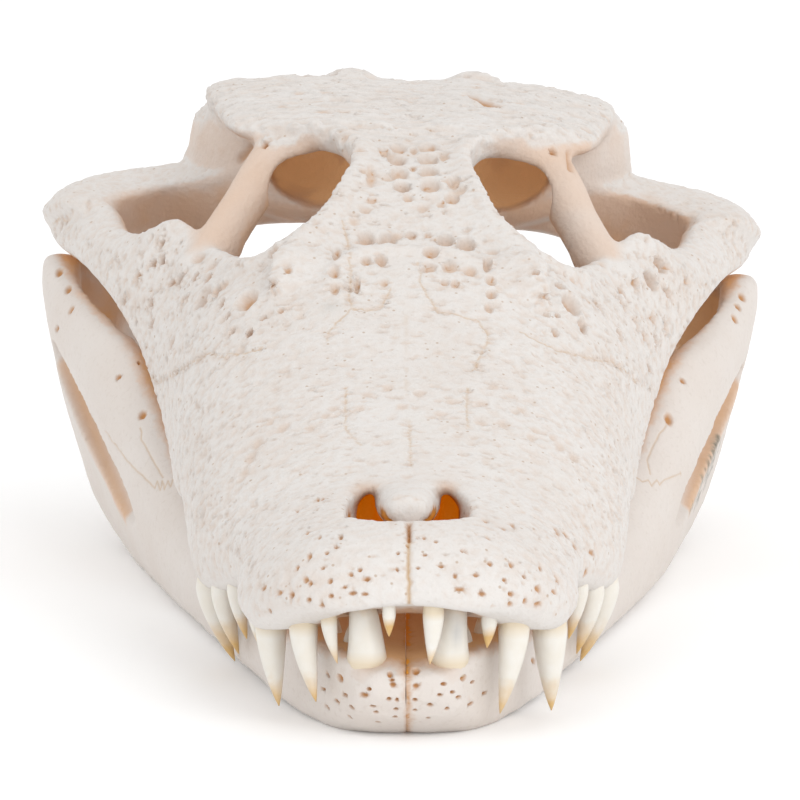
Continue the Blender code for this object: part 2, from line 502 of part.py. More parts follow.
def socket(bm, side, base, up, diameter, length):
    """What a tooth's root needs, with a gap all round, and open past the margin."""
    rings = [tooth_ring((base[0], base[1], base[2] - up * (SOCKET_DEPTH + GAP)), 0.44 * diameter + GAP,
                        tooth_sides(length)),
             tooth_ring((base[0], base[1], base[2] + up * 2.2), 0.5 * diameter + GAP, tooth_sides(length))]
    loft(bm, [[(side * p[0], p[1], p[2]) for p in ring] for ring in rings])


def upper_base(y, x):
    return (x, y, rising(MARGIN_Z + [(120, 26.6)])(y) + 0.1)


def lower_base(y, x):
    return (x, y, rising(RAMUS_TOP)(y)[1] - 0.3)


def new_mesh(name, build, material, collection):
    bm = bmesh.new()
    build(bm)
    bmesh.ops.recalc_face_normals(bm, faces=bm.faces)
    mesh = bpy.data.meshes.new(name)
    bm.to_mesh(mesh)
    bm.free()
    piece = bpy.data.objects.new(name, mesh)
    collection.objects.link(piece)
    if material:
        mesh.materials.append(material)
    return piece


def cutter(name, build, collection):
    piece = new_mesh(name, build, None, collection)
    piece.hide_render = True
    piece.display_type = "WIRE"
    return piece


def remesh(piece):
    mod = piece.modifiers.new("Bone", "REMESH")
    mod.mode = "VOXEL"
    mod.voxel_size = VOXEL * MM


def soften(piece, turns):
    mod = piece.modifiers.new("Soften", "SMOOTH")
    mod.factor = 0.5
    mod.iterations = turns


def boolean(piece, other, operation="DIFFERENCE"):
    mod = piece.modifiers.new("Cut", "BOOLEAN")
    mod.operation = operation
    mod.object = other
    mod.solver = "EXACT"


def thin_out(piece, share):
    mod = piece.modifiers.new("Facets", "DECIMATE")
    mod.ratio = share


def material(name, colour, roughness):
    made = bpy.data.materials.new(name)
    made.use_nodes = True
    shader = made.node_tree.nodes["Principled BSDF"]
    shader.inputs["Base Color"].default_value = colour + (1,)
    shader.inputs["Roughness"].default_value = roughness
    shader.inputs["Metallic"].default_value = 0
    return made


def main():
    for old in list(bpy.data.objects):
        bpy.data.objects.remove(old)
    skull = bpy.data.collections.new("spectacled_caiman_skull")
    cutters = bpy.data.collections.new("cutters")
    bpy.context.scene.collection.children.link(skull)
    bpy.context.scene.collection.children.link(cutters)
    bone = material("bone", (0.81, 0.76, 0.71), 0.55)
    jaw_bone = material("jaw_bone", (0.76, 0.69, 0.63), 0.5)
    enamel = material("tooth_enamel", (0.80, 0.73, 0.60), 0.3)

    teeth = []
    for side, rows in ((1, UPPER_LEFT), (-1, UPPER_RIGHT)):
        for number, (y, x, wide, long, lean_x, lean_y) in enumerate(rows, 1):
            base = upper_base(y, x)
            teeth.append(("upper_tooth", side, number, base, -1, wide, long, (lean_x, lean_y)))
        for number, (y, x, wide, long, lean_x, lean_y) in enumerate(LOWER, 1):
            base = lower_base(y, x)
            teeth.append(("lower_tooth", side, number, base, 1, wide, long, (lean_x, lean_y)))

    def sockets(kind, side):
        def build(bm):
            for name, where, _, base, up, wide, long, _ in teeth:
                if name == kind and where * side >= 0:
                    socket(bm, where, base, up, wide, long)
        return build

    cranium = new_mesh("cranium", cranium_forms, bone, skull)
    remesh(cranium)
    hollows = cutter("cranium_hollows", cranium_hollows, cutters)
    remesh(hollows)
    boolean(cranium, hollows)
    hump = cutter("naris_hump", naris_hump, cutters)
    remesh(hump)
    boolean(cranium, hump, "UNION")
    remesh(cranium)
    soften(cranium, 3)
    thin_out(cranium, CRANIUM_SHARE)
    boolean(cranium, cutter("upper_sockets", sockets("upper_tooth", 0), cutters))

    past = JAW_END + 20
    ground = cutter("ground", lambda bm: box(bm, (-90, -20, -20), (90, past, 0)), cutters)
    for side, name in ((1, "mandible_left"), (-1, "mandible_right")):
        across = sorted((-90 * side, SUTURE * side))
        ramus = new_mesh(name, lambda bm: ramus_forms(bm, side), jaw_bone, skull)
        remesh(ramus)
        hollows = cutter(name + "_hollows", lambda bm: ramus_hollows(bm, side), cutters)
        remesh(hollows)
        boolean(ramus, hollows)
        remesh(ramus)
        soften(ramus, 3)
        thin_out(ramus, RAMUS_SHARE)
        boolean(ramus, ground)
        inner_half = cutter(name + "_midline",
                            lambda bm: box(bm, (across[0], -20, -20), (across[1], past, 90)), cutters)
        boolean(ramus, inner_half)
        boolean(ramus, cutter(name + "_sockets", sockets("lower_tooth", side), cutters))

    for kind, side, number, base, up, wide, long, lean in teeth:
        label = f"{kind}_{'left' if side > 0 else 'right'}_{number:02d}"
        new_mesh(label, lambda bm: tooth(bm, side, base, up, wide, long, lean), enamel, skull)


main()
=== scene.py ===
# %% [markdown]
# # Spectacled caiman skull
# The real object is a clean, bleached skull. The cranium is one solid bone, and it rests on the two
# halves of the lower jaw, which meet in a suture under the chin. 74 teeth stand in their sockets.
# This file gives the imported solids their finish: bone surfaces with pits, seams and small nerve holes,
# and teeth with worn, amber tips. Lengths are millimetres in the skull's own frame: x to the animal's
# left, y back from the tip of the snout, z up from the ground. One function turns them into metres.

import math
import random

import bmesh
import bpy
import numpy as np
from mathutils import Matrix, Vector, kdtree, noise
from mathutils.bvhtree import BVHTree


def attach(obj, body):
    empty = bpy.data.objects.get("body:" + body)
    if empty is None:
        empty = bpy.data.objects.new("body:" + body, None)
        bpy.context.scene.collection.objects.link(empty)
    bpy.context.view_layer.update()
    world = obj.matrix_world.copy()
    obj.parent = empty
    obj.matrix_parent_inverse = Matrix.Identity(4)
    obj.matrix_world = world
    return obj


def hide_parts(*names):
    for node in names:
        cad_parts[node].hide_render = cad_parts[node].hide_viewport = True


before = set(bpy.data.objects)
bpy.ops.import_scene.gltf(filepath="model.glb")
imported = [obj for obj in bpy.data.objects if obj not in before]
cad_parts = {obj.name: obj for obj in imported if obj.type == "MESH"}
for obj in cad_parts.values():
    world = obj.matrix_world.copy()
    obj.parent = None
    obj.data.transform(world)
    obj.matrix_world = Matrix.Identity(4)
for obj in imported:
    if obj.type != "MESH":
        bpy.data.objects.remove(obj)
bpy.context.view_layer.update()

# %% [markdown]
# ## From skull millimetres to the part's frame
# The head of a grown animal is never quite straight, and this one's back is turned by under two degrees
# on its snout. A twist could be a lattice or a Simple Deform modifier, but every form here is
# placed by numbers, so one short function places each point and twists it on the way.

# %% Placing a point
MM = 0.001
# The middle of the skull's width and length is the middle of the part
MIDDLE = (-1.0, 121.6)
# The twist in degrees, where it starts and ends, and the height that it turns about
TWIST = 1.7
TWIST_FROM_TO = (58, 112)
TWIST_ABOVE_Z = (4, 34)
TWIST_Z = 45
# The corners of the jaw also sit a little to the animal's right of the midline of the snout
DRIFT = -1.1
DRIFT_FROM_TO = (120, 190)
DRIFT_BELOW_Z = (58, 66)


def ease(value, low, high):
    """0 below low, 1 above high, and smooth between."""
    t = min(max((value - low) / (high - low), 0), 1)
    return t * t * (3 - 2 * t)


def place(point):
    """Skull millimetres to metres in the part's frame, with the twist of the back of the head."""
    x, y, z = point
    angle = math.radians(TWIST) * ease(y, *TWIST_FROM_TO) * ease(z, *TWIST_ABOVE_Z)
    x, z = (x * math.cos(angle) + (z - TWIST_Z) * math.sin(angle),
            TWIST_Z + (z - TWIST_Z) * math.cos(angle) - x * math.sin(angle))
    x += DRIFT * ease(y, *DRIFT_FROM_TO) * (1 - ease(z, *DRIFT_BELOW_Z))
    return Vector(((x - MIDDLE[0]) * MM, (y - MIDDLE[1]) * MM, z * MM))


print("the tip of the snout is at", [round(c, 4) for c in place((0, 0, 22))])

# %% [markdown]
# ## Smooth lines through a few measures
# Each bone is known by a few measures along its length, such as half widths and heights. A spline that
# never overshoots joins them, so a row of measures reads like a row of ribs.

# %% Rising lines
# Keeps a division by two flat slopes from failing
TINY = 1e-12


def rising(table):
    """Returns a function through the table's points that never overshoots between them."""
    rows = np.array(table, float)
    x, values = rows[:, 0], rows[:, 1:]
    step = np.diff(x)[:, None]
    slope = np.diff(values, axis=0) / step
    product = slope[:-1] * slope[1:]
    inner = np.where(product > 0, 2 * product / (slope[:-1] + slope[1:] + TINY), 0)
    tangent = np.vstack([slope[:1], inner, slope[-1:]])

    def at(y):
        """The values at y, or at the nearer end of the table."""
        y = min(max(y, x[0]), x[-1])
        i = min(int(np.searchsorted(x, y, side="right")) - 1, len(x) - 2)
        h = x[i + 1] - x[i]
        t = (y - x[i]) / h
        found = (values[i] * (2 * t**3 - 3 * t**2 + 1) + tangent[i] * h * (t**3 - 2 * t**2 + t)
                 + values[i + 1] * (3 * t**2 - 2 * t**3) + tangent[i + 1] * h * (t**3 - t**2))
        return found if len(found) > 1 else float(found[0])

    return at

# %% [markdown]
# ## Skins, bars and balls
# A bone is mostly a skin over changing ribs. Faces could be listed one by one, but a grid from
# `create_grid` is already a sheet of the right faces: it is rolled into a tube, its seam is welded
# and its ends are filled. Struts are tubes with a changing radius, and knobs are spheres.

# %% A skin over ribs
WELD = 2e-6


def loft(bm, rings, tip=None):
    """A closed skin over the rings; with a tip, its last end meets in that point."""
    rows = [list(ring) + [ring[0]] for ring in rings]
    if tip:
        rows.append([tip] * len(rows[0]))
    sheet = bmesh.ops.create_grid(bm, x_segments=len(rows[0]) - 1, y_segments=len(rows) - 1, size=1)["verts"]
    for vert, point in zip(sheet, (p for row in rows for p in row)):
        vert.co = place(point)
    bmesh.ops.remove_doubles(bm, verts=sheet, dist=WELD)
    bmesh.ops.holes_fill(bm, edges=[e for e in bm.edges if e.is_boundary], sides=0)


def smooth_ring(points, per_side=3):
    """A closed ring through the given points, rounded between them."""
    points = [np.array(p, float) for p in points]
    count = len(points)
    ring = []
    for i in range(count):
        a, b, c, d = (points[(i + k) % count] for k in (-1, 0, 1, 2))
        for s in range(per_side):
            t = s / per_side
            ring.append(0.5 * (2 * b + (c - a) * t + (2 * a - 5 * b + 4 * c - d) * t**2
                               + (3 * b - a - 3 * c + d) * t**3))
    return ring


def bar(bm, points, sides=12, fine=4):
    """A strut of changing radius along a smooth line through (x, y, z, radius) points."""
    rows = np.array(points, float)
    line = rising([(i,) + tuple(row) for i, row in enumerate(rows)])
    stops = [line(i / fine) for i in range((len(rows) - 1) * fine + 1)]
    rings = []
    for i, stop in enumerate(stops):
        ahead = np.array(stops[min(i + 1, len(stops) - 1)][:3]) - np.array(stops[max(i - 1, 0)][:3])
        turn = Vector(ahead).to_track_quat("Z", "Y")
        ring = []
        for k in range(sides):
            angle = 2 * math.pi * k / sides
            offset = turn @ Vector((math.cos(angle), math.sin(angle), 0)) * stop[3]
            ring.append(np.array(stop[:3]) + np.array(offset))
        rings.append(ring)
    loft(bm, rings)


def mirrored(path, side):
    """The path on that side of the midline: 1 is the animal's left, -1 its right."""
    return [(side * p[0],) + p[1:] for p in path]


def ball(bm, centre, radii, turn=0.0):
    """An ellipsoid with the given half lengths, turned about x by some degrees."""
    matrix = (Matrix.Translation(place(centre)) @ Matrix.Rotation(math.radians(turn), 4, "X")
              @ Matrix.Diagonal(Vector(radii) * MM).to_4x4())
    bmesh.ops.create_uvsphere(bm, u_segments=20, v_segments=12, radius=1, matrix=matrix)

# %% [markdown]
# ## The snout
# Premaxillae, maxillae and nasals have grown together into one roof. Its section is a rounded box that
# is higher and wider at every rib, with a band below for the sockets of the teeth.

# %% Snout
SNOUT_TOP = [(0.5, 22.5), (2, 25), (4, 27.2), (7, 29.2), (11, 30.5), (16, 31), (24, 31.8), (30, 32.5),
             (36, 33.4), (42, 34.8), (50, 36.9), (60, 39.8), (72, 43.9), (80, 47), (95, 54), (104, 58.2),
             (110, 59.4)]
SNOUT_HALF = [(0.5, 8), (2, 13), (4, 16.2), (7, 19), (11, 21.6), (16, 23.6), (22, 24.8), (28, 24.9),
              (34, 25.3), (40, 27.2), (48, 30.4), (55, 32.4), (64, 33.4), (76, 34.4), (88, 35.3),
              (100, 36.4), (110, 37.4)]
MARGIN_Z = [(0.5, 19.4), (4, 18.3), (8, 16.6), (12, 14.6), (17, 14), (22, 14.4), (28, 16.4), (34, 18),
            (40, 16), (48, 14), (55, 13.3), (62, 14.6), (70, 17), (80, 19), (92, 19.8), (105, 20.4),
            (112, 23)]
SNOUT_STATIONS = [0.5, 2, 4, 7, 11, 16, 22, 28, 34, 40, 48, 55, 64, 76, 88, 98, 105, 110]
SNOUT_POWER = [(0.5, 2.3), (20, 2.1), (40, 2.15), (60, 2.35), (80, 2.3), (98, 2.4), (110, 2.6)]
PALATE_RISE = [(0.5, 1), (20, 3.5), (60, 6), (110, 4)]
# Where the sides begin to round in, as a share of the height above the tooth margin
BELLY = 0.16
# The band of the tooth sockets: its greatest width, and its share of the half width where that is less
BAND = 7.5
BAND_SHARE = 0.4


def mirror_ring(y, top, right, under):
    """A closed section: the middle of its top, its right half as (x, z), its underside and its left half."""
    return ([(0, y, top)] + [(x, y, z) for x, z in right] + [(0, y, under)]
            + [(-x, y, z) for x, z in right[::-1]])


def snout(bm):
    """A rounded roof over the palate, with a band for the tooth sockets."""
    top, half = rising(SNOUT_TOP), rising(SNOUT_HALF)
    margin, rise, squareness = rising(MARGIN_Z), rising(PALATE_RISE), rising(SNOUT_POWER)
    rings = []
    for y in SNOUT_STATIONS:
        w, high, low = half(y), top(y), margin(y)
        belly = low + BELLY * (high - low)
        power = 2 / squareness(y)
        ring = []
        for k in range(-9, 10):
            angle = math.radians(k * 10)
            side = math.copysign(abs(math.sin(angle))**power, k)
            ring.append((side * w, y, belly + (high - belly) * abs(math.cos(angle))**power))
        band = min(BAND, BAND_SHARE * w)
        under = [(w - 0.6, low + 1.2), (w - 2, low), (w - band, low + 0.3),
                 (w - band - 0.15 * w, low + 0.7 * rise(y))]
        ring += mirror_ring(y, 0, under, low + rise(y))[1:]
        rings.append(ring)
    loft(bm, rings)


print("the snout has", len(SNOUT_STATIONS), "ribs")

# %% [markdown]
# ## The bridge between the eyes
# The frontal bone is hollow along its middle and has raised, jagged rims. Its section keeps one shape and
# only grows or shrinks, so five shares of the half width describe all of its ribs.

# %% Frontal bone
FRONTAL_HALF = [(98, 23), (105, 22.5), (109, 21), (112, 19.4), (116, 16.4), (120, 14.2), (126, 12.3),
                (133, 10.4), (140, 10), (145, 11.5), (150, 16), (154, 22), (158, 27)]
FRONTAL_RIM = [(98, 54.5), (105, 59), (110, 60), (112, 61.5), (116, 63.7), (124, 67.4), (132, 70.6),
               (140, 73), (150, 74.8), (158, 75.2)]
FRONTAL_STATIONS = [98, 105, 109, 112, 116, 120, 126, 133, 140, 145, 150, 154, 158]
# Its section as shares of the half width and heights over the rim, and the middle of its top and underside
FRONTAL_SECTION = [(0.55, -1.5), (0.86, 0), (1, -0.9), (0.93, -3), (0.5, -6)]
FRONTAL_MIDDLE = (-1.9, -7.5)


def frontal(bm):
    """The bridge between the orbits: hollowed along the middle, with raised rims."""
    half, rim = rising(FRONTAL_HALF), rising(FRONTAL_RIM)
    rings = []
    for y in FRONTAL_STATIONS:
        right = [(share * half(y), rim(y) + over) for share, over in FRONTAL_SECTION]
        rings.append(mirror_ring(y, rim(y) + FRONTAL_MIDDLE[0], right, rim(y) + FRONTAL_MIDDLE[1]))
    loft(bm, rings)


print("the bridge is", 2 * min(half for _, half in FRONTAL_HALF), "mm wide where it is narrowest")

# %% [markdown]
# ## The skull table
# A flat plate roofs the braincase and overhangs the ear on both sides. A bevelled box would be too even:
# the edge droops outwards, one side hangs lower than the other, and each rear corner has a knob.

# %% Skull table
TABLE_HALF = [(151, 17), (154, 26), (158, 30.2), (164, 31.6), (172, 32.6), (182, 34), (192, 35.6),
              (198, 35.8), (201, 33)]
TABLE_TOP = [(151, 75), (158, 75.8), (175, 77.2), (190, 78.2), (201, 78.8)]
TABLE_STATIONS = [151, 154, 158, 164, 172, 182, 192, 198, 201]
TABLE_THICK = [(151, 3.6), (160, 4.4), (172, 6.5), (201, 7)]
# How much lower the rim is on the animal's left
TABLE_SLANT = 1.7
# Its edge from the middle outwards and under: share of the half width, drop, and share of the thickness
TABLE_EDGE = [(0.3, 0, 0), (0.62, 0.3, 0), (0.9, 1.2, 0), (1, 2.4, 0), (0.985, 1.2, 0.6), (0.88, 0.8, 1)]
# Knobs at its rear corners: the middle and half lengths
TABLE_KNOB = ((10.8, 199, 77.6), (4.6, 3.6, 2.4))


def table(bm):
    """The flat roof over the braincase, with its sides overhanging."""
    half, top, thickness = rising(TABLE_HALF), rising(TABLE_TOP), rising(TABLE_THICK)
    rings = []
    for y in TABLE_STATIONS:
        w, high, thick = half(y), top(y), thickness(y)
        edge = [(share * w, high - drop - part * thick) for share, drop, part in TABLE_EDGE]
        rings.append([(0, y, high - 0.8)] + [(x, y, z - TABLE_SLANT * (x / w)**3) for x, z in edge]
                     + [(0, y, high - 1 - thick)]
                     + [(-x, y, z) for x, z in edge[::-1]])
    loft(bm, rings)
    for side in (-1, 1):
        (x, y, z), radii = TABLE_KNOB
        ball(bm, (side * x, y, z), radii)


print("the table is", 2 * max(half for _, half in TABLE_HALF), "mm wide")

# %% [markdown]
# ## Braincase and ear region
# The brain of a caiman is no larger than a thumb, so the braincase is a narrow block that widens into the
# ear region behind. It could be cut from a box, but as a skin over squarish ribs it leans and widens
# by numbers, and a few ellipsoids round off the floor and the knob that joined the neck.

# %% Braincase
OTIC_HALF = [(164, 11), (170, 17), (178, 26.5), (186, 33.5), (193, 38), (200, 39.6)]
OTIC_STATIONS = [164, 170, 178, 186, 193, 200]
OTIC_LOW = 54.5
OTIC_HIGH = 76
OTIC_LEAN = 0.02
# How square its section is: a rounder one has a higher power
OTIC_POWER = 0.5
OTIC_SIDES = 24
NECK_FLANGE = [(12, 198, 66, 5), (26, 201, 65, 5), (36, 203, 63, 4), (38.2, 203.5, 61, 2.4)]
# Rounded parts, each with its middle, half lengths and turn about x: the case, its floor and the neck knob
BRAINCASE = [((0, 166, 66), (9, 20, 9.5), 8), ((0, 191, 53), (11, 9, 11), 0),
             ((0, 203.5, 60), (5.4, 5.6, 4.8), 0)]


def ear_block(bm):
    """Ear region and braincase under the table, with the knob that joined the neck."""
    half = rising(OTIC_HALF)
    middle, tall = (OTIC_LOW + OTIC_HIGH) / 2, (OTIC_HIGH - OTIC_LOW) / 2
    rings = []
    for y in OTIC_STATIONS:
        ring = []
        for k in range(OTIC_SIDES):
            angle = 2 * math.pi * k / OTIC_SIDES
            c, s = math.cos(angle), math.sin(angle)
            up = math.copysign(abs(s)**OTIC_POWER, s)
            narrowing = 1 - OTIC_LEAN * (0.5 + 0.5 * up)
            ring.append((half(y) * narrowing * math.copysign(abs(c)**OTIC_POWER, c), y, middle + tall * up))
        rings.append(ring)
    loft(bm, rings)
    for rounded in BRAINCASE:
        ball(bm, *rounded)
    for side in (-1, 1):
        bar(bm, mirrored(NECK_FLANGE, side))


print("the ear region is", 2 * OTIC_HALF[-1][1], "mm wide behind")

# %% [markdown]
# ## The cheek
# The jugal is a blade that runs from the tooth row back to the jaw joint. The eye opening and the
# temporal window lie above it. Two lines, its upper and its lower edge, and how far it bulges between them
# are all that its ribs need.

# %% Jugal
JUGAL_UP = [(96, 22, 49.4), (104, 21.5, 54), (110, 23.3, 56.2), (115, 25.8, 56.1), (125, 28.9, 55.2),
            (135, 32.6, 55.6), (142, 35.8, 57.2), (147, 39.2, 59), (152, 42.4, 56.6), (158, 44.8, 54.8),
            (165, 46.8, 54.3), (174, 49, 55.2), (183, 51.4, 57.6), (192, 55, 58.2), (199, 57.5, 57)]
JUGAL_LOW = [(96, 36.2, 20.6), (105, 37, 21.2), (112, 37.7, 23.4), (120, 38.9, 26.6), (128, 40.6, 30.2),
             (138, 43.1, 35.6), (145, 45.4, 39), (150, 47.6, 42), (156, 50.1, 44.8), (165, 53.1, 47.1),
             (178, 56.8, 48.9), (190, 60.3, 49.1), (199, 61.2, 48.9)]
JUGAL_BULGE = [(96, 5), (115, 4.5), (130, 3.2), (150, 2), (170, 1.6), (199, 1.6)]
JUGAL_STATIONS = [96, 104, 110, 115, 120, 125, 130, 135, 139, 143, 147, 150, 154, 159, 165, 172, 180, 188,
                  194, 199]
JUGAL_THICK = 4.2
# How much thicker it is near the jaw joint, and where that starts and ends
JUGAL_THICKER = 1.8
JUGAL_THICKER_FROM_TO = (168, 190)
# Points across its outer face, as shares of the way down
JUGAL_ACROSS = (0, 0.2, 0.4, 0.6, 0.8, 1)


def jugal(bm, side):
    """A blade from the tooth row back to the jaw joint, under the orbit and the temporal window."""
    up, low, bulge = rising(JUGAL_UP), rising(JUGAL_LOW), rising(JUGAL_BULGE)
    rings = []
    for y in JUGAL_STATIONS:
        top, bottom = np.array(up(y)), np.array(low(y))
        along = bottom - top
        out = np.array((-along[1], along[0])) / np.linalg.norm(along)
        if out[0] < 0:
            out = -out
        thick = JUGAL_THICK + JUGAL_THICKER * ease(y, *JUGAL_THICKER_FROM_TO)
        outer = [top + along * t + out * bulge(y) * math.sin(math.pi * t) for t in JUGAL_ACROSS]
        inner = [p - out * thick * (0.75 + 0.35 * math.sin(math.pi * t))
                 for p, t in zip(outer[::-1], JUGAL_ACROSS[::-1])]
        ring = outer + inner
        if side < 0:
            ring = ring[::-1]
        rings.append([(side * p[0], y, p[1]) for p in ring])
    loft(bm, rings)


print("a cheek is", JUGAL_UP[-1][0] - JUGAL_UP[0][0], "mm long")

# %% [markdown]
# ## The wing to the jaw joint
# The quadrate runs out from the ear to the corner of the cheek, and ends in the roller that the lower jaw
# turns on. It is lofted sideways: each rib stands front to back, and the list gives its corners.

# %% Quadrate
# x, then y and z of the front edge, of the crest and of the rear edge, and the height of the underside
QUADRATE = [(14, 173, 66, 190, 70, 200, 60, 54), (24, 177, 64.8, 193, 67.4, 204, 59, 53),
            (30, 181.5, 63.2, 196, 65.2, 208, 56.5, 51), (36, 187, 61, 198.5, 63.6, 212, 53, 49),
            (41, 189.5, 59.8, 199.5, 62.6, 215, 51, 47.6), (45, 188, 58.6, 200, 61.8, 216, 50.6, 47.2),
            (50, 183.5, 57.4, 200.5, 61, 215.5, 50.4, 47.2), (55, 181.5, 57.4, 199.5, 59.8, 212, 50, 47.8),
            (59, 184.5, 57.2, 198, 58.1, 206, 50.8, 49), (61.4, 189, 55, 197.5, 56, 203, 51.6, 50.4),
            (62.8, 194, 53.4, 198, 54, 201, 52.6, 52)]
WING_STEPS = 28
# Jaw joint on each side: its place, the half lengths of the condyle, and how much wider its socket is
JAW_JOINT = (47.5, 210.5, 48.6)
CONDYLE = (9.6, 5.2, 4.4)
JOINT_ROOM = 0.9


def quadrate(bm, side):
    """The wing from the ear region to the corner of the cheek, and the roller for the lower jaw."""
    wing = rising(QUADRATE)
    first, last = QUADRATE[0][0], QUADRATE[-1][0]
    rings = []
    for step in range(WING_STEPS + 1):
        x = first + (last - first) * step / WING_STEPS
        y_front, z_front, y_crest, z_crest, y_rear, z_rear, z_under = wing(x)
        ring = [(y_front, z_front), ((y_front + y_crest) / 2, (z_front + z_crest) / 2 + 0.6),
                (y_crest, z_crest), (y_crest + 0.6 * (y_rear - y_crest), z_rear + 0.62 * (z_crest - z_rear)),
                (y_rear, z_rear), (y_rear - 3, z_under),
                ((y_front + y_rear) / 2 + 2, z_under), (y_front + 6.5, z_under + 1.2),
                (y_front + 3.2, z_front - 0.5 * (z_front - z_under))]
        rings.append([(side * x, y, z) for y, z in ring])
    loft(bm, rings)
    ball(bm, (side * JAW_JOINT[0],) + JAW_JOINT[1:], CONDYLE)


print("a wing reaches out to", QUADRATE[-1][0], "mm")

# %% [markdown]
# ## Palate and struts
# Under the eyes the palate is a narrow bar that spreads into two wings behind. Struts tie it to the
# cheeks, and a post on each side parts the eye opening from the temporal window. All of them are bars
# whose radius changes along a smooth line, because that is how such a strut grows.

# %% Palate and struts
# y, half width, height of the middle, height of the edge, thickness
PALATINE = [(84, 9, 27.5, 27, 6), (100, 8.6, 27.5, 27, 6), (120, 7.4, 28.5, 28, 6), (140, 8, 30.5, 29.5, 6),
            (148, 11, 31.5, 29, 5.5), (156, 19, 33.5, 25.5, 5), (164, 26, 36, 20.5, 4.4),
            (172, 29, 39.5, 18, 4.2), (180, 27.5, 44, 19.5, 4.2), (187, 21, 49, 26, 5),
            (192, 10, 52, 44, 6)]
PALATE_STEPS = 27
PALATE_STEP_MM = 4
PALATE_ACROSS = (-1, -0.75, -0.5, -0.25, 0, 0.25, 0.5, 0.75, 1)
# Where the palate meets the braincase: its middle and half lengths
PALATE_ROOT = ((0, 184, 50), (9, 8, 8))

# Bars and struts: points along the middle, then the radius
POSTORBITAL_BAR = [(16.5, 158, 69.4, 3.6), (21.8, 156, 68.4, 4.3), (25.2, 151.6, 64.4, 4.1),
                   (28, 147, 60, 3.8), (31.2, 141, 55, 3.8), (35, 136.5, 49.5, 4.4)]
ECTOPTERYGOID = [(39.6, 139, 43, 4.2), (36, 145, 36.4, 3.8), (31.5, 155, 28, 3.8), (27.5, 165, 21.5, 3.8)]
ECTO_TO_MAXILLA = [(36, 145, 36.4, 3.4), (34.6, 132, 33.6, 2.9), (34.6, 118, 30, 3)]
PREFRONTAL_PILLAR = [(11, 109, 57, 3.4), (8.5, 109.5, 44, 2.4), (7, 109, 30, 3)]
ORBIT_FRONT_RIM = [(13.6, 116.5, 61.6, 1.2), (16.5, 113.8, 60, 1.4), (20.6, 112, 57.6, 1.5),
                   (24.6, 113, 55.2, 1.6), (28.6, 119, 53.4, 1.8)]
SPECTACLE_RIDGE = [(-13.6, 90, 49.4, 0.8), (-13, 96, 52.4, 1.2), (-11.4, 102, 55.4, 1.7),
                   (-7, 105.6, 57.7, 2), (0, 106.6, 58.2, 1.8), (7, 105.6, 57.7, 2), (12, 102, 55.3, 1.7),
                   (13.8, 96, 52.2, 1.2), (14.2, 90, 49.3, 0.8)]
ORBIT_ROOF = [(7.6, 142, 69.6, 2.6), (10.6, 148.5, 71.6, 2.4), (15.6, 152.4, 72.4, 2.4),
              (20.4, 155, 71.8, 2.8), (22.4, 155.6, 69.4, 3.6)]
BAR_FLARE = [(26, 150.4, 64.6, 3.2), (22.6, 153.6, 68.2, 3.2), (17.4, 153.4, 71, 2.2)]
BAR_FOOT = [(29.6, 142, 56, 3.6), (32.6, 141.6, 53.4, 3.8), (37, 145, 52.6, 3.2)]
STRUTS = [ECTOPTERYGOID, ECTO_TO_MAXILLA, PREFRONTAL_PILLAR, ORBIT_FRONT_RIM, ORBIT_ROOF, BAR_FLARE, BAR_FOOT]


def palate_back(bm):
    """Palatine bar between the openings of the palate, spreading into the pterygoid wings."""
    rings = []
    shape = rising(PALATINE)
    for step in range(PALATE_STEPS + 1):
        y = PALATINE[0][0] + PALATE_STEP_MM * step
        w, middle, edge, thick = shape(y)
        drop = middle - edge
        top = [(t * w, y, middle + thick / 2 - drop * abs(t)**1.4) for t in PALATE_ACROSS]
        under = [(p[0] * 0.98, y, p[2] - thick) for p in top[::-1]]
        rings.append(top + under)
    loft(bm, rings)
    for side in (-1, 1):
        for path in STRUTS:
            bar(bm, mirrored(path, side))
    ball(bm, *PALATE_ROOT)


print("struts and rims:", 2 * len(STRUTS))

# %% [markdown]
# ## The cranium's bones together
# All the forms go into one mesh and overlap there. What is mirrored is built once for each side, because the
# two sides differ only by the twist and the slant that the placing adds.

# %% Cranium forms
def cranium_forms(bm):
    """Every bone of the cranium, overlapping."""
    snout(bm)
    frontal(bm)
    table(bm)
    ear_block(bm)
    palate_back(bm)
    bar(bm, SPECTACLE_RIDGE)
    for side in (-1, 1):
        jugal(bm, side)
        quadrate(bm, side)
        bar(bm, mirrored(POSTORBITAL_BAR, side))


print("the ridge in front of the eyes has", len(SPECTACLE_RIDGE), "stops")

# %% [markdown]
# ## What is hollow
# Nostrils, the passage behind them, the space under the eyes, the temporal canal and the opening for the
# spinal cord are cut out. A wall could be modelled round each, but the bone grew round soft parts of
# simple shape, so one cutter of tubes and ellipsoids gives truer walls than a shell would.

# %% Cranium hollows
# Tubes: points along the middle, then the radius
NASAL_PASSAGE = [(0, 20, 27.4, 5.4), (0, 34, 27, 4.8), (0, 60, 29.5, 5), (0, 90, 38, 7), (0, 116, 45, 8)]
NOSTRIL = [(5.8, 18, 29.6, 3.2), (6, 24, 29.4, 3.1), (5.6, 30, 28.8, 2.8), (4, 40, 27.4, 3.6)]
LOWER_TOOTH_PIT = [(6.2, 8.3, 13, 3.7), (6.7, 8.8, 18.4, 2.9), (7.1, 9.5, 24, 1.7)]
TABLE_WINDOW = [(12.8, 171, 82, 2.5), (12.8, 171, 74, 2.5), (15, 170, 66, 3)]
SPINAL_CANAL = [(0, 207, 68.5, 4.4), (0, 196, 68.2, 4.2), (0, 184, 68, 3.4)]
NASAL_TIP = [(1.1, 40, 29.4, 4), (1.1, 31, 29.9, 3.5), (1, 25, 30.5, 3), (0.9, 20, 31, 2.6),
             (0.8, 17.6, 31.4, 1.8)]
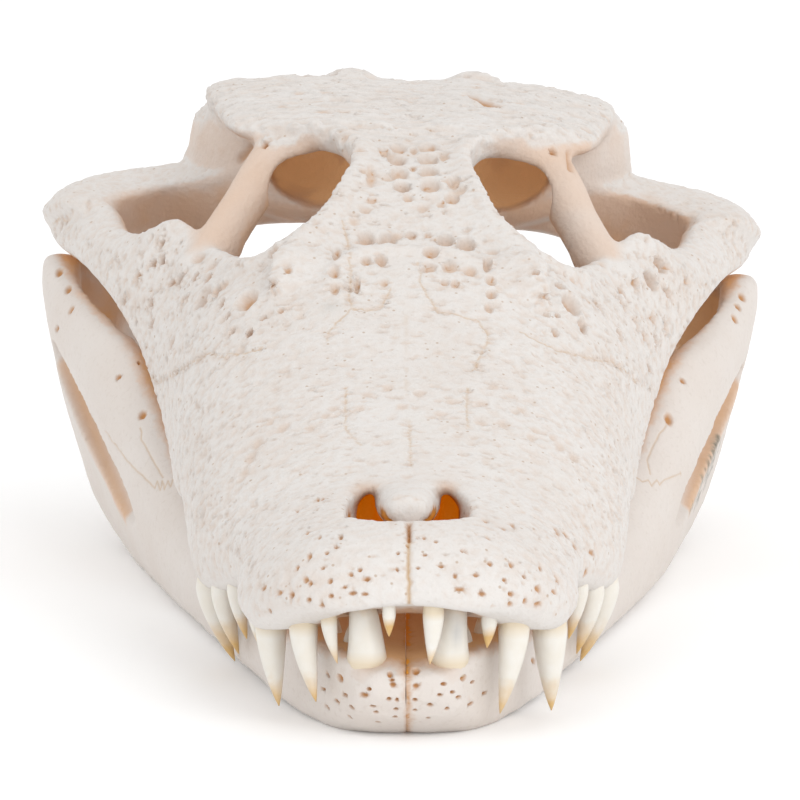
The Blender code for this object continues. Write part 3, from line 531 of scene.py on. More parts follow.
NASAL_KEEL = [(0, 40, 28.4, 3), (0, 26, 28.8, 2.2), (0, 20, 29.4, 1.9), (0, 17.6, 30, 1.6)]
# Rounded hollows, each with its middle, half lengths and turn about x: outer and inner nostril openings
MIDDLE_SPACES = [((0, 19.8, 30.6), (8.2, 6.6, 6.2), 0), ((0, 172, 34), (4.2, 4.6, 6), 0)]
# The rim of a nostril, the space under the front of the orbit, and the temporal canal under the table
SIDE_SPACES = [((6.4, 27.5, 34.2), (4.4, 9, 3.4), 8), ((20.5, 118, 33), (10.4, 22, 17.5), -4),
               ((17.5, 164, 64.5), (8.6, 24, 6.8), 6)]


def cranium_hollows(bm):
    """Everything that is cut out of the cranium."""
    for space in MIDDLE_SPACES:
        ball(bm, *space)
    bar(bm, NASAL_PASSAGE)
    bar(bm, SPINAL_CANAL)
    for side in (-1, 1):
        for (x, y, z), radii, turn in SIDE_SPACES:
            ball(bm, (side * x, y, z), radii, turn)
        for path in (NOSTRIL, LOWER_TOOTH_PIT, TABLE_WINDOW):
            bar(bm, mirrored(path, side))


print("rounded hollows:", len(MIDDLE_SPACES) + 2 * len(SIDE_SPACES))


def naris_hump(bm):
    """The blunt tip of the nasals that reaches into the nostril opening from behind."""
    bar(bm, NASAL_KEEL)
    for side in (-1, 1):
        bar(bm, mirrored(NASAL_TIP, side))

# %% [markdown]
# ## The lower jaw
# Each half is one long blade: round and low in front, tall and thin behind the teeth, and wide again at the
# joint. Its outer face is given by three lines, the top edge, the widest line and the bottom edge, and
# the inner face follows at the bone's thickness. A window in its side lightens it, as in all crocodilians.

# %% Lines of the lower jaw
# The top edge, the widest line and the bottom edge: y, then x and z
RAMUS_TOP = [(3.2, 4.4, 10), (5, 6.6, 11), (9, 9.4, 12.2), (13, 11.4, 12.8), (17, 13.2, 13),
             (25, 16.2, 12.6), (35, 18.6, 12.4), (45, 21, 11.8), (55, 23.3, 11.4), (70, 25.9, 12.2),
             (85, 28.4, 13.4), (100, 31.2, 15.2), (110, 33.6, 17.6), (120, 36.8, 21.6), (128, 40, 25.6),
             (138, 44, 31.4), (145, 46.6, 35.4), (150, 49, 37.4), (158, 52.2, 39.2), (170, 55.2, 42),
             (180, 57, 44.4), (188, 58.8, 46.8), (194, 59.2, 46.8), (200, 57.6, 45.4), (206, 56, 45.2),
             (213, 54, 45.4), (219, 52, 44.4), (225, 50, 41.6), (232, 48, 39.8), (240, 46, 38.6),
             (242.6, 45, 37)]
RAMUS_MID = [(3.2, 4.8, 8.4), (5, 7.2, 8.4), (9, 9.8, 8), (13, 11.9, 8), (17, 13.8, 8), (25, 17.2, 8),
             (35, 20, 8), (45, 22.6, 8), (55, 25, 8), (70, 28.6, 8), (85, 32.2, 9), (100, 35.8, 10),
             (110, 38.6, 12), (120, 42, 16), (128, 45, 20), (138, 48.8, 24), (150, 52.4, 28),
             (158, 54.8, 30), (170, 58.2, 34), (180, 60.8, 38), (188, 62.2, 41.5), (194, 62.5, 42),
             (200, 61.4, 39.5), (206, 60, 36), (213, 57.5, 35), (221, 54.5, 35.5), (232, 50.8, 35),
             (240, 48, 35.4), (242.6, 46, 35.6)]
RAMUS_LOW = [(3.2, 3.4, 6.4), (5, 4.8, 3.4), (9, 6.4, 0.9), (13, 8.2, -0.3), (17, 10.4, -0.6),
             (25, 14.4, 0.2), (35, 18, 0.6), (45, 20.6, 0.8), (55, 23.2, 0.8), (70, 26.6, 0.8),
             (85, 29.8, 0.6), (100, 33, 0.4), (110, 35.2, 0.2), (120, 37.3, 0), (128, 38.8, -0.2),
             (138, 40.8, -0.5), (150, 43.2, -0.6), (158, 44.8, -0.3), (170, 48, 1.6), (180, 51, 4.6),
             (188, 53, 8.2), (194, 53.4, 11.4), (200, 52.4, 14.6), (206, 51, 17.4), (213, 49.4, 20.6),
             (221, 47.6, 24), (232, 45.4, 28.4), (240, 43.8, 32), (242.6, 43.6, 34)]
RAMUS_THICK = [(3.2, 6), (11, 8), (45, 9), (60, 9), (85, 9.4), (110, 9.6), (128, 9.4), (150, 9.4),
               (170, 10), (188, 12.5), (196, 17), (205, 20), (213, 20), (221, 15.5), (232, 12), (240, 9),
               (242.6, 5)]
RAMUS_STATIONS = [3.2, 5, 9, 13, 17, 25, 35, 45, 55, 70, 85, 100, 110, 120, 128, 138, 145, 150, 158, 170,
                  180, 188, 194, 200, 206, 213, 221, 232, 240, 242.6]
# Where the halves part behind the chin
SYMPHYSIS_END = 38
# Its inner face in the suture of the chin
SUTURE_X = -1.5
# The outer window, and the pit of the muscles on the inner side, which is cut twice, one over the other
JAW_WINDOW = [(46, 126, 10.8, 1.6), (47.5, 134, 13.4, 4), (50, 148, 18, 5.4), (53.5, 162, 23.4, 5.6),
              (57, 174, 28.4, 4.6), (59.6, 183, 32, 1.8)]
JAW_FOSSA = [(42.8, 151, 33.4, 2.6), (45.2, 160, 33, 4.6), (47.8, 170, 34, 5.6), (49.8, 180, 36.6, 6.2),
             (50.6, 187, 40, 6), (51.6, 193, 46, 4.6)]
JAW_FOSSA_TALL = 9
# The space inside the window: its middle, half lengths and turn about x
JAW_SPACE = ((45.4, 172, 33), (5, 23, 15), 14)
print("a ramus has", len(RAMUS_STATIONS), "ribs and is", RAMUS_STATIONS[-1] - RAMUS_STATIONS[0], "mm long")

# %% [markdown]
# ## One half of the lower jaw
# The ribs are closed rings through seven points, rounded between them. In the chin the inner side is
# flat instead, since the halves meet there.

# %% Lower jaw
def ramus_forms(bm, side):
    """One half of the lower jaw."""
    top, mid, low, thick = rising(RAMUS_TOP), rising(RAMUS_MID), rising(RAMUS_LOW), rising(RAMUS_THICK)
    rings = []
    for y in RAMUS_STATIONS:
        (xt, zt), (xm, zm), (xl, zl), t = top(y), mid(y), low(y), thick(y)
        t_top = t if y > 185 else min(t, 7.6 - 2.6 * ease(y, 98, 116) * (1 - ease(y, 150, 166)))
        shelf = 0.8 + 3.4 * ease(y, 170, 184) * (1 - ease(y, 196, 206))
        waist = 1.4 - 2.2 * ease(y, 120, 165)
        if y < SYMPHYSIS_END:
            inner = [(SUTURE_X, y, z) for z in (zl + 0.2, (zl + zt) / 2, zt - 1.2 + 2.2 * ease(y, 18, 35))]
        else:
            inner = [(xl - 0.62 * t, y, zl + 0.8), (xm - t, y, zm), (xt - t_top, y, zt - shelf)]
        ring = [(xt, y, zt), (xm, y, zm), ((xl + xm) / 2 + waist, y, zl + 0.3 * (zm - zl)), (xl, y, zl)]
        rings.append([(side * p[0], p[1], p[2]) for p in smooth_ring(ring + inner)])
    loft(bm, rings)


def ramus_hollows(bm, side):
    """The window of a ramus, the pit for the muscles on its inner side, and the socket of the joint."""
    bar(bm, mirrored(JAW_WINDOW, side))
    (x, y, z), radii, turn = JAW_SPACE
    ball(bm, (side * x, y, z), radii, turn)
    for rise in (0, JAW_FOSSA_TALL):
        bar(bm, mirrored([(x, y, z + rise, r) for x, y, z, r in JAW_FOSSA], side))
    ball(bm, (side * JAW_JOINT[0],) + JAW_JOINT[1:], [r + JOINT_ROOM for r in CONDYLE])

# %% [markdown]
# ## From forms to one bone
# The forms overlap like lumps of clay. A Boolean union would keep a hard crease wherever two meet, but
# bone has none: a voxel remesh fuses them into one skin, and a little smoothing rounds the joins.
# The hollows are cut with Booleans in between, while the skin is still coarse and quick.

# %% Fusing and cutting
# Voxel sizes while the forms are fused, and of the finished skin
FUSED_MM = 0.8
SKIN_MM = 0.55
# Rounds of smoothing
SOFTNESS = 5


def added(name, build):
    """An object made by build(bm), with its faces pointing out."""
    bm = bmesh.new()
    build(bm)
    bmesh.ops.recalc_face_normals(bm, faces=bm.faces)
    mesh = bpy.data.meshes.new(name)
    bm.to_mesh(mesh)
    bm.free()
    piece = bpy.data.objects.new(name, mesh)
    bpy.context.scene.collection.objects.link(piece)
    return piece


def modify(piece, kind, **settings):
    """Adds a modifier with its settings."""
    modifier = piece.modifiers.new(kind.title(), kind)
    for key, value in settings.items():
        setattr(modifier, key, value)


def settled(piece):
    """Replaces the piece's mesh by what its modifiers make of it, and clears them."""
    graph = bpy.context.evaluated_depsgraph_get()
    made = bpy.data.meshes.new_from_object(piece.evaluated_get(graph))
    piece.modifiers.clear()
    piece.data = made
    return piece


def fused(piece, size, softness=0):
    """Makes one skin of that voxel size from all that the piece is made of."""
    modify(piece, "REMESH", mode="VOXEL", voxel_size=size * MM)
    if softness:
        modify(piece, "SMOOTH", factor=0.5, iterations=softness)
    return settled(piece)


def combined(piece, other, operation):
    """Joins or cuts the piece with another, which is used up."""
    modify(piece, "BOOLEAN", object=other, operation=operation, solver="MANIFOLD")
    settled(piece)
    bpy.data.objects.remove(other)
    return piece


def show_count(piece):
    """Prints how many triangles the piece has."""
    piece.data.calc_loop_triangles()
    print(piece.name, len(piece.data.loop_triangles), "triangles")


# %% [markdown]
# ## The cranium in one skin
# The hollows are cut out of the fused bones. The hump in the nostrils is added after that, because it
# stands inside the hollow.

# %% The cranium's skin
cranium = fused(added("cranium_bone", cranium_forms), FUSED_MM)
combined(cranium, fused(added("hollows", cranium_hollows), FUSED_MM), "DIFFERENCE")
fused(cranium, SKIN_MM)
combined(cranium, fused(added("hump", naris_hump), FUSED_MM), "UNION")
fused(cranium, SKIN_MM, SOFTNESS)
show_count(cranium)

# %% [markdown]
# ## The two halves of the jaw
# Each half ends flat on the ground and in the chin, so two plain blocks cut it there. A hair's breadth
# stays open in the suture, as in this animal.

# %% The two rami
# Half of the gap in the suture, and a block that takes in the whole jaw: half width, y and z from and to
CHIN_GAP = 0.012
BLOCK_HALF = 90
BLOCK_Y = (-20, 270)
BLOCK_Z = (-20, 90)


def slab(bm, low, high):
    """A box between two corners."""
    size = (Vector(high) - Vector(low)) * MM
    middle = place([(a + b) / 2 for a, b in zip(low, high)])
    bmesh.ops.create_cube(bm, size=1, matrix=Matrix.Translation(middle) @ Matrix.Diagonal(size).to_4x4())


def ramus(side, name):
    """Half of the lower jaw: side is 1 for the animal's left."""
    piece = fused(added(name, lambda bm: ramus_forms(bm, side)), FUSED_MM)
    combined(piece, fused(added("hollows", lambda bm: ramus_hollows(bm, side)), FUSED_MM), "DIFFERENCE")
    fused(piece, SKIN_MM, SOFTNESS)
    inner = sorted((-BLOCK_HALF * side, CHIN_GAP * side))
    blocks = {"ground": ((-BLOCK_HALF, BLOCK_Y[0], BLOCK_Z[0]), (BLOCK_HALF, BLOCK_Y[1], 0)),
              "middle": ((inner[0], BLOCK_Y[0], BLOCK_Z[0]), (inner[1], BLOCK_Y[1], BLOCK_Z[1]))}
    for label, corners in blocks.items():
        combined(piece, added(label, lambda bm: slab(bm, *corners)), "DIFFERENCE")
    show_count(piece)
    return piece


rami = [ramus(1, "jaw_bone_left"), ramus(-1, "jaw_bone_right")]

# %% [markdown]
# ## Where the photograph's camera stood
# Every pit and seam is placed where it is seen. The camera is solved from the skull's own widths and
# heights, and a ray through a pixel of the 800 x 800 picture then finds its place on the bone.

# %% Camera
PICTURE = 800
# The focal length in pixels, the camera's height in degrees and its distance in metres
LENS_PIXELS = 5679
ELEVATION = math.radians(8)
DISTANCE = 0.9
# What the middle of the picture shows, in skull millimetres
AIM_POINT = (-1.15, 100, 35.8)
AIM = Vector(((AIM_POINT[0] - MIDDLE[0]) * MM, (AIM_POINT[1] - MIDDLE[1]) * MM, AIM_POINT[2] * MM))
EYE = AIM + DISTANCE * Vector((0, -math.cos(ELEVATION), math.sin(ELEVATION)))
LOOK = (AIM - EYE).normalized()
RIGHT = Vector((1, 0, 0))
UP = RIGHT.cross(LOOK)

camera_data = bpy.data.cameras.new("photo_camera")
camera_data.sensor_width = 36
camera_data.lens = camera_data.sensor_width * LENS_PIXELS / PICTURE
camera_data.clip_start = 0.01
camera = bpy.data.objects.new("photo_camera", camera_data)
camera.location = EYE
camera.rotation_euler = LOOK.to_track_quat("-Z", "Y").to_euler()
bpy.context.scene.collection.objects.link(camera)
bpy.context.scene.camera = camera
print("camera lens", round(camera_data.lens, 1), "mm")


def ray(u, v):
    """The direction from the camera through a pixel."""
    way = LOOK + RIGHT * ((u - PICTURE / 2) / LENS_PIXELS) + UP * ((PICTURE / 2 - v) / LENS_PIXELS)
    return way.normalized()

# %% [markdown]
# ## Carving tools
# The skin is dense enough to carve. Each tool moves the points of the skin near a place along the
# surface's normal, and notes the colour there, a stain or painted shade, for the material to read.

# %% Small tools
def between(stops, step=2.5):
    """Pixels along the line through the stops, a step apart."""
    for start, end in zip(stops, stops[1:]):
        start, end = np.array(start, float), np.array(end, float)
        count = max(int(np.linalg.norm(end - start) / step), 1)
        for k in range(count):
            yield tuple(start + (end - start) * k / count)


def tree_of(points):
    """A search tree of the points."""
    tree = kdtree.KDTree(len(points))
    for i, point in enumerate(points):
        tree.insert(point, i)
    tree.balance()
    return tree


def rows_of(layer, key):
    """The three numbers that each item of a mesh layer holds."""
    values = np.empty(len(layer) * 3, np.float32)
    layer.foreach_get(key, values)
    return values.reshape(-1, 3).astype(float)


def wrinkles(spots):
    """Smooth noise from -1 to 1 at each spot."""
    return np.array([noise.noise(Vector(spot)) for spot in spots])


# From the part's frame back to the skull's own
FROM_SKULL = np.array(MIDDLE + (0,))
print("pixels between two stops that are 10 apart:", len(list(between([(0, 0), (10, 0)]))))

# %% [markdown]
# ## A skin that can be carved
# The points and their normals are kept as arrays, because a loop over several hundred thousand points
# would be slow. Nothing moves while the tools work: the lift of each point adds up, and is applied once.

# %% Carving
# What a tone can be, each stored for every point: the first two are painted shade, in closed-in places and in
# pits and valleys; seam and dirt are stains; amber is a stain, but painted light in the nasal passage and
# painted shade round the nostrils
TONES = ("closed_shade", "hollow", "amber", "seam", "dirt")
# On a slanting skin a pit is made longer than it looks, but not more than by these shares
LEAST_ACROSS = 0.4
LEAST_ALONG = 0.35
# The lip of a pit: where it is highest and how wide, as shares of the pit's half width
LIP_AT = 1.2
LIP_WIDE = 0.22
# How far the colour of a pit, painted shade or a stain, and the stain of a groove reach, and the marked area
# round them that is kept fine
PIT_TONE_REACH = 1.15
PIT_FINE = 1.3
GROOVE_STAIN = 1.1
GROOVE_FINE = 1.6
# Steepness and lip of a random pit
RANDOM_STEEP = 1.2
RANDOM_LIP = 0.15


class Skin:
    """The points of a bone's surface in millimetres, and what has been done to them."""

    def __init__(self, piece):
        self.piece = piece
        self.points = rows_of(piece.data.vertices, "co") / MM
        self.normals = rows_of(piece.data.vertex_normals, "vector")
        self.tree = tree_of(self.points)
        self.rays = BVHTree.FromObject(piece, bpy.context.evaluated_depsgraph_get())
        count = len(self.points)
        self.lift = np.zeros(count)
        self.tones = {name: np.zeros(count) for name in TONES}
        self.fine = np.zeros(count, bool)
        self.smooth = np.ones(count)

    def skull(self, chosen=slice(None)):
        """x, y and z of the points in skull millimetres."""
        return (self.points[chosen] + FROM_SKULL).T

    def seen(self, u, v):
        """The point and normal on the skin behind a pixel, or None."""
        spot, normal, _, _ = self.rays.ray_cast(EYE, ray(u, v))
        return None if spot is None else (np.array(spot) / MM, np.array(normal))

    def mark(self, tone, chosen, amount):
        """Colours points with a tone at least that strongly: a stain, or painted shade."""
        self.tones[tone][chosen] = np.maximum(self.tones[tone][chosen], amount)

    def around(self, centre, radius):
        """The points within a radius."""
        found = self.tree.find_range(centre, radius)
        return np.array([i for _, i, _ in found], int)

    def pit(self, u, v, wide, tall, deep, tone="hollow", strength=1.0, steep=1.0, lip=0.1):
        """A bowl of that width and height as seen, with a faint lip round it."""
        hit = self.seen(u, v)
        if hit is None:
            return
        centre, normal = hit
        across = np.array(RIGHT) - normal * normal[0]
        across /= np.linalg.norm(across)
        along = np.cross(normal, across)
        half_wide = wide / 2 / max(abs(across @ np.array(RIGHT)), LEAST_ACROSS)
        half_tall = tall / 2 / max(abs(along @ np.array(UP)), LEAST_ALONG)
        self.bowl(centre, normal, across, half_wide, half_tall, deep, tone, strength, steep, lip)

    def pit_at(self, centre, normal, wide, tall, deep, tone="hollow", strength=1.0, turned=0.0):
        """A bowl at a point of the skin, longer along the skull, turned by an angle."""
        across = np.array((1.0, 0, 0)) - normal * normal[0]
        if np.linalg.norm(across) < 0.4:
            across = np.cross((0, 1.0, 0), normal)
        across /= np.linalg.norm(across)
        along = np.cross(normal, across)
        across = across * math.cos(turned) + along * math.sin(turned)
        self.bowl(centre, normal, across, wide / 2, tall / 2, deep, tone, strength, RANDOM_STEEP, RANDOM_LIP)

    def bowl(self, centre, normal, across, half_wide, half_tall, deep, tone, strength, steep, lip):
        """Lowers the points of an ellipse on the skin, raises a lip round it, and colours it: painted shade
        in the hollow tone, a stain in the others.
        """
        along = np.cross(normal, across)
        near = self.around(centre, 1.5 * max(half_wide, half_tall))
        if not len(near):
            return
        off = self.points[near] - centre
        near = near[np.abs(off @ normal) < 0.5 * max(half_wide, half_tall) + 0.8]
        off = self.points[near] - centre
        share = np.hypot(off @ across / half_wide, off @ along / half_tall)
        bowl = np.clip(1 - share**(2 * steep), 0, 1)
        ring = np.exp(-((share - LIP_AT) / LIP_WIDE)**2)
        self.lift[near] += deep * (lip * ring - bowl) * (self.lift[near] > -deep)
        self.mark(tone, near, strength * np.clip(PIT_TONE_REACH - share**2, 0, 1))
        self.fine[near[share < PIT_FINE]] = True

    def groove(self, pixels, wide, deep, tone="seam", strength=1.0, wander=0.0, seed=1):
        """A thin line through the pixels, wandering a little from side to side."""
        for k, (u, v) in enumerate(between(pixels, 1)):
            sway = [wander * 2 * noise.noise((k * 0.13, 9 * seed, axis)) for axis in (0, 50)]
            hit = self.seen(u + sway[0], v + sway[1])
            if hit is None:
                continue
            near = self.around(hit[0], 2.2 * wide)
            away = np.linalg.norm(self.points[near] - hit[0], axis=1) / wide
            self.lower(near, deep * np.exp(-away**2))
            self.mark(tone, near, strength * np.exp(-(GROOVE_STAIN * away)**2))
            self.fine[near[away < GROOVE_FINE]] = True

    def stain_or_shade(self, u, v, radius, strength, tone="dirt"):
        """A stain or painted shade on the skin behind a pixel, fading outwards."""
        hit = self.seen(u, v)
        if hit is not None:
            near = self.around(hit[0], 2 * radius)
            away = np.linalg.norm(self.points[near] - hit[0], axis=1) / radius
            self.mark(tone, near, strength * np.exp(-away**2))

    def lower(self, near, amount):
        """Lowers points to at least that depth, so that steps that overlap don't add up."""
        self.lift[near] = np.minimum(self.lift[near], -amount)

    def moved(self):
        """Where the carving has left the points, in millimetres."""
        return self.points + self.normals * self.lift[:, None]

    def write(self):
        """Moves the mesh's points there."""
        self.piece.data.vertices.foreach_set("co", (self.moved() * MM).astype(np.float32).ravel())
        self.piece.data.update()

# %% [markdown]
# ## What is carved, and where
# Each list below gives places as pixels of the photograph, and sizes in millimetres as seen there. Pits of
# a caiman's roof bones run in two columns between the eyes, and in a crescent on the ridge in front
# of them that gives the animal its name. The dots near the teeth let nerves and vessels through.

# %% Pits of the roof bones
# Each is u, v, width, height and depth
FRONTAL_PITS = [(398, 149, 2.6, 1.5, 1.1), (397, 161, 2.8, 1.6, 1.3), (399, 174, 2.8, 1.7, 1.3),
                (402, 188, 2.6, 1.6, 1.2), (428, 149, 2.8, 1.6, 1.2), (428, 161, 2.9, 1.6, 1.3),
                (428, 173, 2.9, 1.6, 1.3), (430, 187, 3, 2, 1.4), (454, 183, 2, 2, 0.9),
                (452, 199, 2.3, 1.8, 1), (371, 176, 1.6, 3.6, 0.5), (372, 201, 1.6, 1, 0.4),
                (408, 199, 1.6, 1.2, 0.7), (441, 205, 1.4, 1, 0.4), (384, 152, 1.6, 1.1, 0.5),
                (444, 158, 1.6, 1.1, 0.5), (414, 152, 1.2, 1, 0.4), (413, 170, 1.2, 1, 0.4)]
RIDGE_PITS = [(366, 240, 2.4, 2.2, 1.3), (387, 244, 2.5, 2.2, 1.4), (381, 261, 1.8, 1.6, 0.9),
              (411, 236, 1.7, 1.3, 0.8), (428, 236, 1.2, 1, 0.7), (431, 252, 2.4, 2, 1.2),
              (446, 242, 2.5, 2, 1.5), (466, 247, 2.6, 2.2, 1.5), (337, 255, 1.4, 2, 1.1),
              (334, 272, 1.7, 2, 0.9), (335, 289, 1.5, 1.8, 0.7), (357, 285, 1, 2.8, 0.8),
              (487, 264, 1.3, 2.2, 1.2), (491, 281, 1.6, 1.5, 0.8), (491, 295, 1.6, 1.4, 0.7),
              (489, 308, 1.4, 1.4, 0.6), (430, 268, 2, 1.4, 0.6), (450, 268, 2.4, 1.6, 0.6),
              (470, 272, 2, 1.6, 0.5), (445, 283, 1.3, 1, 0.6), (455, 284, 1.4, 1.2, 0.5),
              (366, 262, 1.6, 1.4, 0.6), (384, 283, 1.4, 1.2, 0.4)]
CHEEK_PITS = [(162, 244, 1.1, 1.4, 0.9), (153, 263, 1.4, 1.2, 0.8), (163, 260, 1, 1.8, 0.9),
              (180, 280, 1.7, 1.5, 1.2), (217, 291, 1.2, 1.4, 0.7), (204, 298, 2.5, 2.4, 1.3),
              (247, 301, 3.2, 2.8, 1), (222, 303, 1, 1.5, 0.7), (184, 300, 1, 1.2, 0.7),
              (270, 284, 2, 1.8, 0.6), (281, 311, 1.1, 0.9, 0.5), (263, 318, 1, 1, 0.6),
              (250, 332, 1, 0.9, 0.8), (232, 332, 1, 1.1, 0.7), (228, 316, 0.9, 1, 0.7),
              (288, 270, 1.2, 1.4, 0.4), (152, 324, 1, 1.2, 0.7), (173, 343, 1, 1.6, 0.6),
              (124, 302, 0.9, 1.3, 0.5), (151, 303, 1, 1.3, 0.6), (138, 276, 0.9, 1.2, 0.5),
              (650, 281, 2.2, 2.8, 1.6), (660, 265, 2, 2.4, 1.2), (636, 283, 1.2, 1.6, 0.6),
              (571, 305, 2.8, 3, 1.5), (598, 309, 1.8, 1.8, 0.8), (582, 327, 1.3, 2.2, 0.9),
              (560, 287, 1.6, 1.2, 0.8), (536, 273, 1.1, 1, 0.6), (548, 297, 1.2, 1, 0.6),
              (547, 315, 0.9, 0.9, 0.5), (557, 316, 0.8, 0.8, 0.6), (555, 333, 1.2, 1.2, 0.6),
              (619, 333, 1, 1, 0.7), (636, 324, 1.1, 1.8, 0.7), (653, 319, 1.1, 1.8, 0.6),
              (667, 293, 1.2, 1.6, 0.7), (655, 340, 1, 1.5, 0.8), (668, 268, 1.2, 1.2, 0.5),
              (645, 337, 0.9, 1.2, 0.5), (665, 326, 1, 1.3, 0.5), (687, 281, 1, 1.2, 0.5),
              (622, 303, 1.1, 1.6, 0.6)]
SNOUT_PITS = [(388, 388, 2.2, 1.1, 0.4), (419, 394, 2.2, 1.1, 0.4), (451, 402, 2.3, 1.1, 0.45),
              (482, 404, 2.3, 1.2, 0.5), (494, 387, 2, 1.1, 0.4), (503, 423, 2, 1.1, 0.5),
              (504, 424, 2.2, 1.1, 0.4), (360, 409, 2, 1.1, 0.4), (367, 395, 2.2, 1.1, 0.4),
              (334, 409, 2, 1.1, 0.4), (325, 416, 2, 1, 0.4), (439, 414, 2.2, 1, 0.4),
              (481, 423, 2.4, 1.1, 0.45), (311, 428, 1.8, 1.2, 0.5), (402, 407, 2, 1, 0.3),
              (271, 422, 1.3, 1.2, 0.6), (283, 428, 2.4, 1.6, 0.7), (257, 443, 2.4, 1.8, 0.7),
              (250, 458, 1.8, 1.8, 0.6), (245, 473, 1.6, 1.8, 0.6), (531, 438, 1.8, 1.2, 0.5),
              (535, 431, 2, 1, 0.5), (560, 447, 2, 1.4, 0.6), (553, 438, 1.6, 1.2, 0.4),
              (574, 458, 2, 1.6, 0.5), (521, 410, 2, 1.1, 0.4)]
print("pits placed by hand:", len(FRONTAL_PITS + RIDGE_PITS + CHEEK_PITS + SNOUT_PITS))

# %% [markdown]
# ## Nerve holes
# Each jaw is lined with small holes that let nerves and vessels reach the skin. They could be drawn as
# dark dots, but a shallow bowl with amber fat in it catches the light at its edge, as the real ones do.

# %% Nerve holes
# Each is u, v, width and height
JAW_HOLES = [(59, 272, 1, 1.2), (68, 289, 0.9, 1.1), (71, 310, 0.7, 0.8), (57, 329, 0.9, 0.7),
             (118, 377, 0.7, 0.6), (142, 415, 1, 1), (742, 297, 1, 1), (738, 307, 0.8, 0.8),
             (735, 319, 0.8, 0.8), (669, 419, 1, 1.5), (629, 450, 0.7, 0.8), (683, 381, 0.7, 0.7),
             (139, 363, 0.4, 0.5)]
SNOUT_HOLES = [(398, 553, 0.6, 0.5), (425, 555, 0.8, 0.5), (397, 569, 0.6, 0.6), (418, 568, 0.7, 0.5),
               (351, 574, 0.8, 0.7), (360, 570, 0.8, 0.7), (330, 581, 0.8, 1), (345, 587, 0.8, 0.6),
               (367, 579, 1.3, 0.8), (331, 596, 0.9, 0.8), (353, 593, 1.4, 0.7), (365, 594, 1.2, 0.6),
               (441, 566, 1, 0.6), (455, 576, 0.8, 0.8), (476, 575, 1, 0.7), (490, 564, 0.8, 0.8),
               (482, 594, 1.3, 0.8), (460, 589, 1.6, 0.7), (504, 580, 0.7, 0.7), (462, 551, 0.6, 0.5),
               (488, 539, 0.8, 0.5), (486, 521, 0.7, 0.5), (504, 529, 0.7, 0.7), (336, 547, 0.7, 0.6),
               (327, 553, 0.7, 0.5), (323, 568, 0.7, 0.6), (320, 538, 0.6, 0.6), (310, 583, 0.6, 1),
               (306, 580, 0.8, 1.1), (264, 588, 0.9, 0.8), (280, 593, 0.8, 0.9), (292, 595, 0.8, 1.2),
               (309, 600, 0.8, 0.8), (270, 611, 0.6, 0.8), (322, 606, 0.9, 0.5), (511, 594, 1, 0.9),
               (510, 604, 0.8, 0.9), (525, 601, 0.9, 0.9), (538, 604, 1.3, 0.8), (538, 589, 0.9, 1.2),
               (554, 592, 0.8, 0.8), (557, 580, 0.7, 0.9), (524, 577, 0.6, 0.6), (540, 568, 0.6, 0.8),
               (511, 565, 0.9, 0.9), (513, 526, 0.6, 0.8), (557, 532, 0.9, 0.9), (566, 535, 0.7, 0.7),
               (586, 573, 0.9, 0.9), (608, 588, 0.9, 0.9), (575, 548, 0.6, 0.6), (592, 553, 0.9, 0.9),
               (310, 556, 0.8, 1), (308, 533, 0.7, 0.7), (341, 537, 0.7, 0.7), (298, 511, 0.6, 0.6),
               (323, 499, 0.5, 0.5), (318, 499, 0.5, 0.6), (298, 568, 0.6, 0.8), (424, 538, 0.7, 0.4),
               (436, 542, 0.7, 0.5), (407, 545, 0.5, 0.5), (629, 450, 0.7, 0.7)]
CHIN_HOLES = [(416, 671, 1.2, 1), (416, 686, 1.1, 0.9), (393, 685, 1.1, 0.9), (444, 684, 1, 0.6),
              (364, 695, 1.3, 0.8), (369, 689, 0.8, 0.6), (340, 678, 1, 1.2), (323, 689, 0.8, 0.5),
              (328, 675, 0.8, 0.6), (345, 695, 1, 0.6), (337, 701, 0.8, 0.5), (352, 707, 0.9, 0.5),
              (328, 707, 0.9, 0.5), (373, 706, 1, 0.4), (376, 712, 0.8, 0.4), (389, 699, 0.8, 0.6),
              (397, 700, 0.6, 0.7), (396, 709, 0.8, 0.5), (395, 717, 0.8, 0.4), (415, 700, 0.8, 0.6),
              (415, 710, 0.7, 0.4), (430, 705, 0.9, 0.6), (440, 695, 1, 0.5), (447, 709, 0.8, 0.5),
              (453, 692, 0.8, 0.5), (464, 678, 0.9, 1), (471, 704, 0.9, 0.5), (459, 697, 0.9, 0.5),
              (485, 693, 0.8, 0.5), (473, 682, 0.7, 0.5), (390, 674, 0.9, 1), (392, 680, 0.9, 0.7),
              (533, 661, 0.9, 0.9), (310, 674, 0.6, 0.7), (350, 717, 0.8, 0.3), (378, 722, 0.8, 0.3),
              (428, 718, 0.7, 0.3)]
print("nerve holes:", len(JAW_HOLES + SNOUT_HOLES + CHIN_HOLES))

# %% [markdown]
# ## Stains, painted shade, slits and the first sockets
# A few marks belong to this animal alone: mould down one jaw, a green spot and slits in the skull table.
# Painted shade lies on the floor seen through the jaw windows and round the nostrils. They are placed one by
# one, since no rule would find them.

# %% Stains, painted shade, and the sockets of the first two lower teeth
MOULD = [(720, 436), (712, 462), (703, 486), (692, 511), (719, 440), (706, 478)]
GREEN_STAIN = (331, 307)
# Painted shade on the floor seen through each jaw window
JAW_WINDOW_SHADE = [[(66, 364), (70, 374), (77, 388), (90, 420), (103, 455), (116, 490), (126, 516)],
                     [(733, 386), (726, 402), (712, 435), (700, 470), (690, 508)]]
FIRST_SOCKETS = [(369, 663, 5.4, 2.4, 0.45), (444, 663, 5.4, 2.4, 0.45), (351, 668, 3.6, 3.4, -0.8),
                 (463, 668, 3.6, 3.4, -0.8)]
# Painted shade round the upper side of the nostrils
NOSTRIL_SHADE = [(366, 493), (358, 500), (446, 491), (455, 500)]
